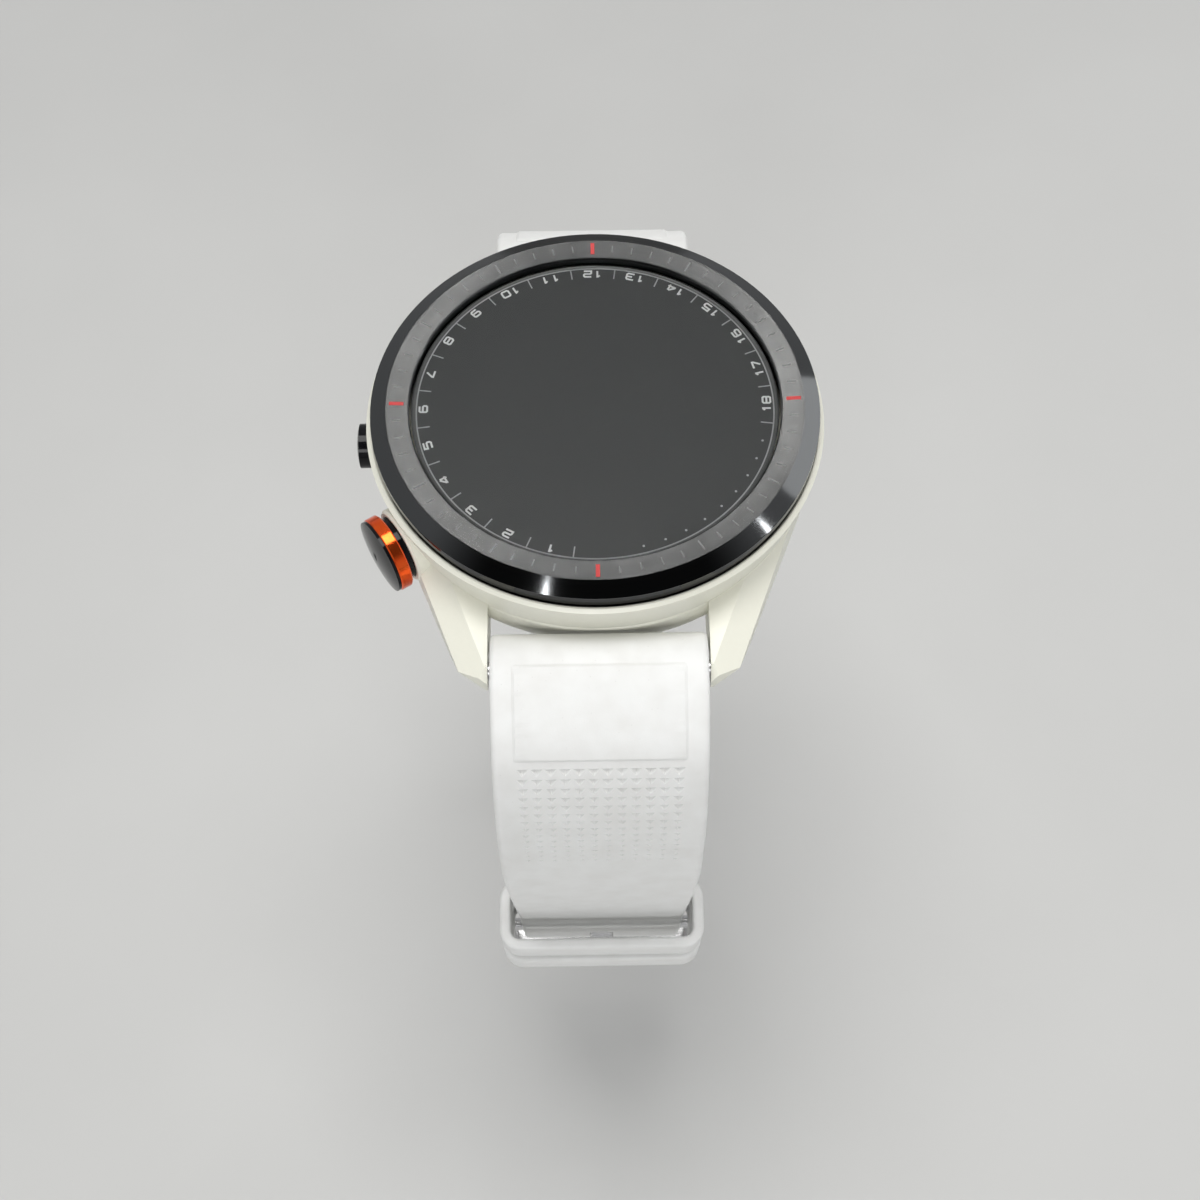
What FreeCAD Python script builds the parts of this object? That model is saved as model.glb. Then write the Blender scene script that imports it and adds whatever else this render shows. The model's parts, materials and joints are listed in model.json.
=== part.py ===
import FreeCAD, Part
import math
import os
import Sketcher

# Round golf watch with a quick-release strap, millimetres.
# +Z out of the dial, +Y towards twelve o'clock, +X towards three o'clock (the buttons).
# Origin: centre of the flat sensor plateau, the lowest face of the case back.

SIZES = {
    # cutting tools
    "cutter_reach": 60.0,
    "overrun": 1.0,
    # case
    "case_radius": 23.3,
    "case_wall": 4.5,
    "shoulder_flare": 0.8,
    "lip_height": 0.4,
    "lip_gap": 0.15,
    "lip_round": 0.35,
    "edge_break": 0.25,
    "step_drop": 5.0,
    "step_inset": 0.3,
    "step_bevel": 0.25,
    "step_groove": 0.3,
    "lower_inset": 0.35,
    "belly_rise": 3.5,
    "belly_radius": 3.6,
    "cavity_depth": 7.6,
    "flange_width": 3.0,
    "flange_thickness": 1.4,
    "rim_wall": 0.9,
    # case back
    "plateau_margin": 3.8,
    "plateau_height": 1.3,
    "cover_thickness": 1.7,
    "cover_gap": 0.1,
    "cover_bevel": 0.5,
    "cover_proud": 0.6,
    "recess_step": 0.2,
    "window_margin": 2.8,
    "window_thickness": 1.0,
    "sensor_bay_length": 8.0,
    "sensor_bay_width": 5.0,
    "seal_section": 0.6,
    "back_screw_radius": 0.5,
    "back_screw_head_radius": 0.85,
    "back_screw_head_height": 0.7,
    "back_screw_length": 2.4,
    "driver_socket": 0.4,
    # charging port
    "port_gap": 0.2,
    "port_length": 8.4,
    "port_width": 3.2,
    "port_rim": 0.6,
    "port_depth": 1.0,
    "contact_radius": 0.45,
    "contact_pitch": 1.7,
    "contact_proud": 0.3,
    # bezel and lens
    "bezel_overhang": 0.2,
    "bezel_height": 2.5,
    "band_height": 0.8,
    "band_inset": 0.1,
    "groove_height": 0.2,
    "groove_depth": 0.15,
    "rim_drop": 0.85,
    "rim_run": 1.7,
    "bezel_dish": 0.14,
    "bezel_inner_bevel": 0.15,
    "gasket_thickness": 0.3,
    "gasket_inset": 0.4,
    "lens_ledge": 0.45,
    "lens_gap": 0.15,
    "lens_thickness": 1.35,
    "lens_bevel": 0.2,
    "lens_seal_thickness": 0.6,
    "lens_seal_width": 1.8,
    # display and boards
    "panel_margin": 0.4,
    "panel_thickness": 1.4,
    "holder_lip_gap": 0.15,
    "holder_gap": 0.3,
    "holder_height": 2.0,
    "holder_width": 5.0,
    "antenna_depth": 1.2,
    "antenna_height": 1.0,
    "antenna_sweep": 320.0,
    "board_gap": 0.25,
    "board_thickness": 0.8,
    "sensor_board_gap": 0.4,
    "battery_side_gap": 7.8,
    "battery_end_gap": 8.8,
    "battery_corner": 1.5,
    "shield_length": 12.0,
    "shield_width": 3.6,
    "shield_height": 1.2,
    "shield_gap": 0.8,
    "motor_radius": 3.4,
    "motor_height": 2.8,
    "motor_gap": 0.4,
    # buttons
    "button_drop": 4.8,
    "button_angle": 32.0,
    "button_travel": 0.6,
    "bore_overrun": 3.0,
    "stem_radius": 1.0,
    "stem_gap": 0.05,
    "bush_wall": 0.55,
    "bush_proud": 0.25,
    "clip_radius": 1.8,
    "clip_thickness": 0.4,
    "oring_section": 0.16,
    "oring_groove_width": 0.4,
    "spring_wire": 0.24,
    "spring_turns": 2.5,
    "spring_pocket_gap": 0.25,
    "switch_gap": 0.1,
    "switch_depth": 1.8,
    "switch_width": 3.0,
    "switch_height": 2.8,
    "socket_depth": 1.2,
    "action_boss_radius": 4.1,
    "action_boss_reach": 0.95,
    "action_neck_radius": 3.4,
    "action_neck_length": 0.9,
    "action_ring_radius": 4.1,
    "action_ring_width": 1.35,
    "action_ring_bevel": 0.15,
    "action_plate_radius": 4.0,
    "action_plate_edge": 0.3,
    "action_core_radius": 2.4,
    "action_dome_rise": 0.4,
    "action_bore_depth": 2.6,
    "action_seat_depth": 1.0,
    "small_boss_radius": 3.1,
    "small_boss_reach": 0.7,
    "small_cap_radius": 2.4,
    "small_cap_proud": 1.6,
    "small_cap_height": 2.5,
    "small_dome_rise": 0.35,
    "small_bore_depth": 1.0,
    "small_seat_depth": 1.6,
    "cap_gap": 0.1,
    # lugs and pins
    "lug_angle": 21.3,
    "lug_inset": 0.35,
    "lug_shortfall": 3.8,
    "lug_tip_rise": 3.5,
    "lug_tip_run": 3.1,
    "lug_width": 9.0,
    "lug_top": 9.9,
    "lug_slope": 10.6,
    "lug_drop": 0.5,
    "lug_sweep_run": 10.0,
    "lug_toe_rise": 2.8,
    "lug_nose_start": 2.4,
    "lug_nose_slope": 40.0,
    "lug_root": 2.0,
    "lug_bevel_width": 2.5,
    "lug_bevel_drop": 1.3,
    "keel_width": 2.0,
    "keel_rise": 2.2,
    "side_band_reach": 7.2,
    "pin_offset": 2.9,
    "pin_height": 4.4,
    "pin_radius": 0.9,
    "pin_end_radius": 0.75,
    "pin_end_length": 1.2,
    "strap_gap": 0.3,
    # strap
    "strap_width": 22.0,
    "strap_end_width": 20.0,
    "strap_thickness": 2.8,
    "hub_radius": 3.7,
    "strap_start_slope": 10.0,
    "strap_mid_slope": 68.0,
    "bend_radius": 13.0,
    "drop_radius": 31.0,
    "lean_radius": 120.0,
    "lean_angle": 11.5,
    "buckle_run": 24.0,
    "taper_start": 26.0,
    "taper_end": 50.0,
    "tail_run": 89.0,
    "tail_lean": 13.0,
    "tail_tip_radius": 12.0,
    "strap_hole_radius": 1.4,
    "strap_hole_pitch": 6.0,
    "strap_hole_count": 11,
    "strap_hole_start": 38.0,
    # quick-release latch
    "latch_tilt": 45.0,
    "latch_width": 16.0,
    "latch_back": 2.4,
    "latch_front": 2.6,
    "latch_top": 2.0,
    "latch_bottom": 2.4,
    "latch_trim": 1.0,
    "latch_front_wall": 0.5,
    "pin_gap": 0.05,
    "pin_clearance": 0.4,
    "slider_width": 8.0,
    "slider_wing": 2.2,
    "slider_wing_depth": 0.6,
    "slider_thickness": 0.7,
    "slider_gap": 0.05,
    "slider_top": 1.2,
    "slider_front": 1.3,
    "slider_travel": 2.3,
    "slider_tab": 0.8,
    "slider_tab_gap": 0.2,
    "slider_tab_drop": 1.1,
    "latch_spring_width": 0.9,
    "latch_spring_strip": 0.12,
    # buckle
    "bar_radius": 0.75,
    "bar_gap": 0.05,
    "bar_inset": 0.4,
    "bar_end_gap": 0.1,
    "loop_wall": 1.1,
    "tongue_width": 2.4,
    "tongue_thickness": 1.2,
    "tongue_gap": 0.3,
    "tongue_rise": 0.35,
    "buckle_length": 13.2,
    "buckle_bar_width": 2.4,
    "buckle_arm_width": 1.8,
    "buckle_thickness": 2.2,
    "buckle_corner": 2.5,
    "buckle_gap": 0.35,
    "keeper_width": 6.0,
    "keeper_wall": 1.3,
    "keeper_slot": 6.0,
    "keeper_gap": 0.3,
    "keeper_side_gap": 1.0,
    "keeper_travel": 9.0,
    "fixed_keeper_place": 5.0,
    "free_keeper_place": 13.0,
}

doc = FreeCAD.newDocument("golf_watch")
sheet = doc.addObject("Spreadsheet::Sheet", "Sizes")
for row, (alias, number) in enumerate(SIZES.items(), start=1):
    sheet.set(f"A{row}", alias)
    sheet.set(f"B{row}", str(number))
    sheet.setAlias(f"B{row}", alias)
doc.recompute()


class Size:
    """A number together with the spreadsheet expression that gives it."""

    def __init__(self, value, text):
        self.value = float(value)
        self.text = text

    def __add__(self, other):
        other = size(other)
        return Size(self.value + other.value, f"({self.text} + {other.text})")

    def __sub__(self, other):
        other = size(other)
        return Size(self.value - other.value, f"({self.text} - {other.text})")

    def __mul__(self, other):
        other = size(other)
        return Size(self.value * other.value, f"({self.text} * {other.text})")

    def __truediv__(self, other):
        other = size(other)
        return Size(self.value / other.value, f"({self.text} / {other.text})")

    def __radd__(self, other):
        return size(other) + self

    def __rsub__(self, other):
        return size(other) - self

    def __rmul__(self, other):
        return size(other) * self

    def __neg__(self):
        return size(0) - self


def size(number):
    if isinstance(number, Size):
        return number
    return Size(number, f"{number}" if number >= 0 else f"({number})")


def sine(angle):
    angle = size(angle)
    return Size(math.sin(math.radians(angle.value)), f"sin({angle.text})")


def cosine(angle):
    angle = size(angle)
    return Size(math.cos(math.radians(angle.value)), f"cos({angle.text})")


def root(number):
    return Size(math.sqrt(number.value), f"sqrt({number.text})")


class Sheet:
    """Gives each size of the spreadsheet as an attribute."""

    def __getattr__(self, alias):
        return Size(SIZES[alias], f"Sizes.{alias}")


s = Sheet()
X_AXIS = FreeCAD.Vector(1, 0, 0)
Y_AXIS = FreeCAD.Vector(0, 1, 0)
Z_AXIS = FreeCAD.Vector(0, 0, 1)


# ---------------------------------------------------------------- helpers

def bind(thing, prop, number):
    """Set a property from a size and bind it to the spreadsheet."""
    thing.setExpression(prop, size(number).text)


def place(thing, base=(0, 0, 0), turns=()):
    """Move a finished object: turns are applied in its own frame, in order."""
    rotation = FreeCAD.Rotation()
    for axis, angle in turns:
        rotation = rotation * FreeCAD.Rotation(axis, size(angle).value)
    corner = [size(number) for number in base]
    thing.Placement = FreeCAD.Placement(FreeCAD.Vector(*[c.value for c in corner]), rotation)
    for letter, number in zip("xyz", corner):
        bind(thing, f"Placement.Base.{letter}", number)
    return thing


def origin_part(body, role):
    return next(f for f in body.Origin.OriginFeatures if f.Role == role)


def arc_centre(begin, end, radius):
    """Centre of the short arc: left of the chord for a positive radius."""
    dx, dy = end[0] - begin[0], end[1] - begin[1]
    chord = math.hypot(dx, dy)
    rise = math.sqrt(max(radius * radius - chord * chord / 4, 0.0))
    side = 1 if radius > 0 else -1
    return ((begin[0] + end[0]) / 2 - side * dy / chord * rise,
            (begin[1] + end[1]) / 2 + side * dx / chord * rise)


def draw_outline(sketch, corners):
    """Closed outline: a corner (x, y) ends a line, a corner (x, y, radius) ends an arc.

    A positive radius turns left, a negative one turns right.
    """
    first = sketch.GeometryCount
    count = len(corners)
    points = [(size(c[0]).value, size(c[1]).value) for c in corners]
    starts = []
    for i in range(count):
        begin, end = points[i], points[(i + 1) % count]
        target = corners[(i + 1) % count]
        radius = size(target[2]).value if len(target) > 2 else 0
        if radius == 0:
            sketch.addGeometry(Part.LineSegment(FreeCAD.Vector(*begin, 0), FreeCAD.Vector(*end, 0)), False)
            starts.append(1)
            continue
        centre = arc_centre(begin, end, radius)
        low, high = (begin, end) if radius > 0 else (end, begin)
        circle = Part.Circle(FreeCAD.Vector(*centre, 0), Z_AXIS, abs(radius))
        angles = [math.atan2(p[1] - centre[1], p[0] - centre[0]) for p in (low, high)]
        if angles[1] < angles[0]:
            angles[1] += 2 * math.pi
        sketch.addGeometry(Part.ArcOfCircle(circle, *angles), False)
        starts.append(1 if radius > 0 else 2)
    for i in range(count):
        following = (i + 1) % count
        sketch.addConstraint(Sketcher.Constraint(
            "Coincident", first + i, 3 - starts[i], first + following, starts[following]))
    for i, corner in enumerate(corners):
        for kind, axis_line, number in (("DistanceX", -2, corner[0]), ("DistanceY", -1, corner[1])):
            if not isinstance(number, Size) and number == 0:
                sketch.addConstraint(Sketcher.Constraint("PointOnObject", first + i, starts[i], axis_line))
                continue
            number = size(number)
            index = sketch.addConstraint(Sketcher.Constraint(
                kind, -1, 1, first + i, starts[i], number.value))
            bind(sketch, f"Constraints[{index}]", number)
    for i in range(count):
        target = corners[(i + 1) % count]
        if len(target) > 2:
            radius = size(target[2])
            if radius.value < 0:
                radius = -radius
            index = sketch.addConstraint(Sketcher.Constraint("Radius", first + i, radius.value))
            bind(sketch, f"Constraints[{index}]", radius)


def draw_circle(sketch, x, y, radius):
    """Circle whose centre and radius follow the sheet."""
    first = sketch.GeometryCount
    x, y, radius = size(x), size(y), size(radius)
    centre = FreeCAD.Vector(x.value, y.value, 0)
    sketch.addGeometry(Part.Circle(centre, Z_AXIS, radius.value), False)
    for kind, axis_line, number in (("DistanceX", -2, x), ("DistanceY", -1, y)):
        if number.text == "0":
            sketch.addConstraint(Sketcher.Constraint("PointOnObject", first, 3, axis_line))
            continue
        index = sketch.addConstraint(Sketcher.Constraint(kind, -1, 1, first, 3, number.value))
        bind(sketch, f"Constraints[{index}]", number)
    index = sketch.addConstraint(Sketcher.Constraint("Radius", first, radius.value))
    bind(sketch, f"Constraints[{index}]", radius)


def new_body(label):
    body = doc.addObject("PartDesign::Body", label)
    body.Label = label
    return body


def new_sketch(body, role, outlines=(), circles=(), offset=0):
    """Sketch on an origin plane of the body, moved along the plane's normal by offset."""
    sketch = body.newObject("Sketcher::SketchObject", f"{body.Name}_sketch")
    sketch.AttachmentSupport = [(origin_part(body, role), "")]
    sketch.MapMode = "FlatFace"
    bind(sketch, "AttachmentOffset.Base.z", offset)
    for outline in outlines:
        draw_outline(sketch, outline)
    for circle in circles:
        draw_circle(sketch, *circle)
    return sketch


def add_pad(body, role, outlines, length, offset=0, circles=(), symmetric=False):
    pad = body.newObject("PartDesign::Pad", f"{body.Name}_pad")
    pad.Profile = new_sketch(body, role, outlines, circles, offset)
    bind(pad, "Length", length)
    if symmetric:
        pad.SideType = "Symmetric"
    return pad


def add_pocket(body, role, outlines, length, offset=0, circles=(), symmetric=False, reverse=False):
    """Cuts against the plane's normal, or along it when reverse is set."""
    pocket = body.newObject("PartDesign::Pocket", f"{body.Name}_pocket")
    pocket.Profile = new_sketch(body, role, outlines, circles, offset)
    bind(pocket, "Length", length)
    pocket.Reversed = reverse
    if symmetric:
        pocket.SideType = "Symmetric"
    return pocket


def around_z(body, feature, count):
    """Polar pattern of a feature about the body's own Z axis."""
    pattern = body.newObject("PartDesign::PolarPattern", f"{body.Name}_pattern")
    pattern.Originals = [feature]
    pattern.Axis = (origin_part(body, "Z_Axis"), [""])
    pattern.Angle = 360
    bind(pattern, "Occurrences", count)
    body.Tip = pattern
    return pattern


def add_bevel(body, feature, middles, first, second):
    """Uneven bevel on the edges of a feature whose middles lie nearest to the given points."""
    doc.recompute()
    edges = feature.Shape.Edges
    names = []
    for middle in middles:
        target = FreeCAD.Vector(*[size(number).value for number in middle])
        names.append(min(range(len(edges)), key=lambda i: (edges[i].CenterOfMass - target).Length))
    bevel = body.newObject("PartDesign::Chamfer", f"{body.Name}_bevel")
    bevel.Base = (feature, [f"Edge{index + 1}" for index in names])
    bevel.ChamferType = "Two distances"
    bind(bevel, "Size", first)
    bind(bevel, "Size2", second)
    return bevel


def padded(label, role, outlines, length, offset=0, circles=(), symmetric=False):
    body = new_body(label)
    add_pad(body, role, outlines, length, offset, circles, symmetric)
    return body


def revolved(label, *outlines, circles=(), angle=360):
    """Body turned about its own Z axis from outlines of (radius, z) corners."""
    body = new_body(label)
    turn = body.newObject("PartDesign::Revolution", f"{label}_turn")
    sketch = new_sketch(body, "XZ_Plane", outlines, circles)
    turn.Profile = sketch
    turn.ReferenceAxis = (sketch, ["V_Axis"])
    bind(turn, "Angle", angle)
    return body


def ring(low_radius, high_radius, low, high):
    """Rectangular section of a ring."""
    return [(low_radius, low), (high_radius, low), (high_radius, high), (low_radius, high)]


def rectangle(low_x, high_x, low_y, high_y):
    return [(low_x, low_y), (high_x, low_y), (high_x, high_y), (low_x, high_y)]


def block(label, low, high):
    """Part::Box between two corners, in its owner's frame."""
    box = doc.addObject("Part::Box", label)
    for prop, letter, a, b in zip(("Length", "Width", "Height"), "xyz", low, high):
        bind(box, prop, size(b) - a)
        bind(box, f"Placement.Base.{letter}", a)
    return box


def rod(label, radius, length, base=(0, 0, 0), turns=()):
    """Part::Cylinder along its own Z, placed by its foot."""
    cylinder = doc.addObject("Part::Cylinder", label)
    bind(cylinder, "Radius", radius)
    bind(cylinder, "Height", length)
    return place(cylinder, base, turns)


def joined(label, shapes):
    fuse = doc.addObject("Part::MultiFuse", label)
    fuse.Label = label
    fuse.Shapes = shapes
    fuse.Refine = True
    return fuse


def cut(label, base, *tools):
    result = doc.addObject("Part::Cut", label)
    result.Label = label
    result.Base = base
    result.Tool = tools[0] if len(tools) == 1 else joined(f"{label}_tools", list(tools))
    result.Refine = True
    return result


def common(label, first, second):
    result = doc.addObject("Part::Common", label)
    result.Label = label
    result.Base = first
    result.Tool = second
    result.Refine = True
    return result


def mirrored(label, source, normal):
    mirror = doc.addObject("Part::Mirroring", label)
    mirror.Source = source
    mirror.Normal = normal
    return mirror


def group(label, shapes):
    compound = doc.addObject("Part::Compound", label)
    compound.Label = label
    compound.Links = shapes
    return compound


NODES = []


def node(thing):
    """Mark an object as one finished piece of the watch."""
    NODES.append(thing)
    return thing


# ---------------------------------------------------------------- heights and radii

seat_z = s.plateau_height + s.cover_thickness
floor_z = seat_z + s.flange_thickness
case_top_z = floor_z + s.cavity_depth
case_bottom_z = s.plateau_height + s.cover_proud
bezel_z = case_top_z + s.gasket_thickness
lens_z = case_top_z + s.lens_seal_thickness
lens_top_z = lens_z + s.lens_thickness
panel_z = lens_z - s.panel_thickness
board_top_z = panel_z - s.holder_height
board_z = board_top_z - s.board_thickness
sensor_board_top_z = seat_z + s.board_thickness
button_z = case_top_z - s.button_drop
step_z = case_top_z - s.step_drop

cavity_radius = s.case_radius - s.case_wall
recess_radius = cavity_radius + s.recess_step
base_radius = recess_radius + s.rim_wall
flange_radius = cavity_radius - s.flange_width
cover_radius = recess_radius - s.cover_gap
screw_circle = flange_radius + s.flange_width / 2 + s.recess_step / 2
lens_radius = cavity_radius + s.lens_ledge
bezel_inner_radius = lens_radius + s.lens_gap
bezel_radius = s.case_radius + s.bezel_overhang
bezel_band_radius = bezel_radius - s.band_inset
plateau_radius = flange_radius - s.plateau_margin
window_radius = plateau_radius - s.window_margin
port_offset = plateau_radius + s.port_gap + s.port_width / 2
clip_inner = cavity_radius - s.bush_proud - s.clip_thickness - s.button_travel
board_radius = clip_inner - s.board_gap
panel_radius = lens_radius - s.lens_gap - s.lens_seal_width - s.panel_margin
lug_circle = s.case_radius - s.lug_inset
pin_reach = s.case_radius + s.pin_offset
action_boss_face = s.case_radius + s.action_boss_reach
small_boss_face = s.case_radius + s.small_boss_reach


# ---------------------------------------------------------------- case shell

def lug():
    """One lug at +X +Y: a tapering bar that leaves the case along a tangent."""
    bar = new_body("lug_bar")
    length = s.case_radius - s.lug_shortfall
    tip = length + s.lug_tip_rise
    far = s.cutter_reach
    plan = [(-s.lug_width, -1), (0, -1), (0, length), (-s.lug_tip_run, tip), (-s.lug_width, tip)]
    bottom = case_bottom_z - s.lug_drop
    add_pad(bar, "XY_Plane", [plan], s.lug_top + 1 - bottom, bottom)
    fall = sine(s.lug_slope) / cosine(s.lug_slope)
    nose_fall = sine(s.lug_nose_slope) / cosine(s.lug_nose_slope)
    nose = tip - s.lug_nose_start
    nose_z = s.lug_top - nose * fall
    back = s.lug_root
    end = tip + s.overrun
    over = [(-back, s.lug_top + back * fall), (nose, nose_z), (end, nose_z - (end - nose) * nose_fall),
            (end, s.lug_top + back), (-back, s.lug_top + back)]
    toe = bottom + s.lug_toe_rise
    run = s.lug_sweep_run
    heel = tip - run
    sweep = (run * run + s.lug_toe_rise * s.lug_toe_rise) / (2 * s.lug_toe_rise)
    under = [(heel, bottom), (tip, toe, sweep), (end, toe), (end, bottom - s.overrun),
             (heel, bottom - s.overrun)]
    sides = add_pocket(bar, "YZ_Plane", [over, under], far, symmetric=True)
    top_middle = nose / 2
    crease = add_bevel(bar, sides, [(0, top_middle, s.lug_top - top_middle * fall)],
                       s.lug_bevel_drop, s.lug_bevel_width)
    add_bevel(bar, crease, [(0, heel / 2, bottom)], s.keel_rise, s.keel_width)
    place(bar, (lug_circle * cosine(s.lug_angle), lug_circle * sine(s.lug_angle), 0), [(Z_AXIS, s.lug_angle)])
    half_gap = s.strap_width / 2 + s.strap_gap
    gap = block("lug_gap", (-half_gap, -far, -far), (half_gap, far, far))
    return cut("lug_trimmed", bar, gap)


def make_side_band():
    """Lower case side at three and nine o'clock, in line with the lugs' outer faces."""
    bottom = case_bottom_z - s.lug_drop
    hoop = revolved("side_hoop", [(0, bottom), (lug_circle - s.keel_width, bottom),
                                  (lug_circle, bottom + s.keel_rise), (lug_circle, step_z), (0, step_z)])
    far, reach = s.cutter_reach, s.side_band_reach
    return common("side_band", hoop, block("side_window", (-far, -reach, 0), (far, reach, step_z)))


def button_turns(angle):
    """Turn a piece built along +Z so that it points out of the case side."""
    return [(Z_AXIS, angle), (Y_AXIS, 90)]


def radial(thing, angle):
    return place(thing, (0, 0, button_z), button_turns(angle))


def button_boss(name, angle, radius, face, cap_radius, seat_depth, bore_depth):
    """Collar on the case side, and the stepped bore for its button."""
    start = s.case_radius - s.case_wall / 2 - 1
    boss = revolved(f"{name}_boss", [
        (0, start), (radius, start), (radius, face - s.edge_break),
        (radius - s.edge_break, face), (0, face)])
    seat = face - seat_depth
    pocket = seat - bore_depth
    bush = s.stem_radius + s.stem_gap + s.bush_wall
    wide = cap_radius + s.cap_gap
    spring = bush + s.spring_pocket_gap + s.spring_wire
    inside = cavity_radius - s.bore_overrun
    bore = revolved(f"{name}_bore", [(0, inside), (bush, inside), (bush, pocket), (spring, pocket),
                                     (spring, seat), (wide, seat), (wide, face + 1), (0, face + 1)])
    return radial(boss, angle), radial(bore, angle)


def make_case_shell():
    flare = s.case_radius + s.shoulder_flare
    lip_z = case_top_z + s.lip_height
    lip = bezel_band_radius + s.lip_gap
    step = s.case_radius - s.step_inset
    lower = s.case_radius - s.lower_inset
    bevel = s.step_bevel
    blank = revolved("case_blank", [
        (0, case_bottom_z), (base_radius, case_bottom_z),
        (lower, case_bottom_z + s.belly_rise, s.belly_radius), (lower, step_z - bevel),
        (lower - bevel, step_z), (step, step_z + s.step_groove), (flare, lip_z - s.lip_round),
        (flare - s.lip_round, lip_z), (lip, lip_z), (lip, case_top_z), (0, case_top_z)])
    cavity = revolved("case_cavity", [
        (0, case_bottom_z - 1), (recess_radius, case_bottom_z - 1), (recess_radius, seat_z),
        (flange_radius, seat_z), (flange_radius, floor_z), (cavity_radius, floor_z),
        (cavity_radius, case_top_z + 1), (0, case_top_z + 1)])
    screw_holes = new_body("screw_holes")
    hole = add_pad(screw_holes, "XY_Plane", [], floor_z, 0,
                   [(screw_circle * cosine(45), screw_circle * sine(45), s.back_screw_radius)])
    around_z(screw_holes, hole, 4)
    first_lug = lug()
    second_lug = mirrored("lug_left", first_lug, X_AXIS)
    third_lug = mirrored("lug_lower_right", first_lug, Y_AXIS)
    fourth_lug = mirrored("lug_lower_left", second_lug, Y_AXIS)
    bosses = []
    tools = [cavity, screw_holes]
    hub_way = s.hub_radius + s.strap_gap
    for name, angle, sizes in BUTTONS:
        boss, bore = button_boss(name, angle, *sizes)
        bosses.append(boss)
        tools.append(bore)
    inner_half = s.strap_width / 2 + s.strap_gap
    half = inner_half + s.pin_end_length
    for name, side in (("upper", 1), ("lower", -1)):
        y = side * pin_reach
        tools.append(rod(f"{name}_pin_hole", s.pin_end_radius, 2 * half, (-half, y, s.pin_height),
                         [(Y_AXIS, 90)]))
        tools.append(rod(f"{name}_hub_way", hub_way, 2 * inner_half, (-inner_half, y, s.pin_height),
                         [(Y_AXIS, 90)]))
    outside = joined("case_outside", [blank, make_side_band(), first_lug, second_lug, third_lug, fourth_lug]
                     + bosses)
    node(cut("case_shell", outside, *tools))


ACTION_SIZES = (s.action_boss_radius, action_boss_face, s.action_neck_radius,
                s.action_seat_depth, s.action_bore_depth)
SMALL_SIZES = (s.small_boss_radius, small_boss_face, s.small_cap_radius,
               s.small_seat_depth, s.small_bore_depth)
BUTTONS = (("action", s.button_angle, ACTION_SIZES), ("mid", size(0), SMALL_SIZES),
           ("lower", -s.button_angle, SMALL_SIZES))


# ---------------------------------------------------------------- bezel, lens and display

def make_bezel():
    band = bezel_band_radius
    groove_z = bezel_z + s.band_height
    groove = band - s.groove_depth
    groove_top = groove_z + s.groove_height
    rim_z = bezel_z + s.bezel_height - s.rim_drop
    top_z = bezel_z + s.bezel_height
    inner_z = top_z - s.bezel_dish
    bevel = s.bezel_inner_bevel
    node(revolved("bezel_ring", [
        (bezel_inner_radius, bezel_z), (band, bezel_z), (band, groove_z), (groove, groove_z),
        (groove, groove_top), (bezel_radius, groove_top), (bezel_radius, rim_z),
        (bezel_radius - s.rim_run, top_z), (bezel_inner_radius + bevel, inner_z),
        (bezel_inner_radius, inner_z - bevel)]))
    node(revolved("bezel_gasket", ring(bezel_inner_radius + s.gasket_inset, band - s.gasket_inset,
                                       case_top_z, bezel_z)))


def make_display():
    node(revolved("display_lens", [
        (0, lens_z), (lens_radius, lens_z), (lens_radius, lens_top_z - s.lens_bevel),
        (lens_radius - s.lens_bevel, lens_top_z), (0, lens_top_z)]))
    seal_radius = lens_radius - s.lens_gap
    node(revolved("lens_seal", ring(seal_radius - s.lens_seal_width, seal_radius, case_top_z, lens_z)))
    node(revolved("display_panel", ring(0, panel_radius, panel_z, lens_z)))
    holder_radius = cavity_radius - s.holder_gap
    middle = (panel_z + board_top_z) / 2
    channel_low = middle - s.antenna_height / 2
    channel_high = middle + s.antenna_height / 2
    channel = holder_radius - s.antenna_depth
    node(revolved("display_holder", [
        (holder_radius - s.holder_width, board_top_z), (holder_radius, board_top_z),
        (holder_radius, channel_low), (channel, channel_low), (channel, channel_high),
        (holder_radius, channel_high), (holder_radius, case_top_z),
        (panel_radius + s.holder_lip_gap, case_top_z), (panel_radius + s.holder_lip_gap, panel_z),
        (holder_radius - s.holder_width, panel_z)]))
    node(revolved("gps_antenna", ring(channel, holder_radius, channel_low, channel_high),
                  angle=s.antenna_sweep))


# ---------------------------------------------------------------- inside the case

def make_electronics():
    node(padded("main_board", "XY_Plane", [], s.board_thickness, board_z,
                [(0, 0, board_radius)]))
    half_x = cavity_radius - s.battery_side_gap
    half_y = cavity_radius - s.battery_end_gap
    corner = s.battery_corner
    node(padded("battery", "XY_Plane", [[
        (corner - half_x, -half_y, corner), (half_x - corner, -half_y), (half_x, corner - half_y, corner),
        (half_x, half_y - corner), (half_x - corner, half_y, corner),
        (corner - half_x, half_y), (-half_x, half_y - corner, corner), (-half_x, corner - half_y)]],
        board_z - sensor_board_top_z, sensor_board_top_z))
    shield_x = -half_x - s.shield_gap
    node(padded("shield_can", "XY_Plane", [rectangle(
        shield_x - s.shield_width, shield_x, -s.shield_length / 2, s.shield_length / 2)],
        s.shield_height, board_z - s.shield_height))
    node(padded("vibration_motor", "XY_Plane", [], s.motor_height, board_z - s.motor_height,
                [(0, half_y + s.motor_gap + s.motor_radius, s.motor_radius)]))
    node(padded("sensor_board", "XY_Plane", [], s.board_thickness, seat_z,
                [(0, 0, flange_radius - s.sensor_board_gap)]))


# ---------------------------------------------------------------- case back

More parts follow.
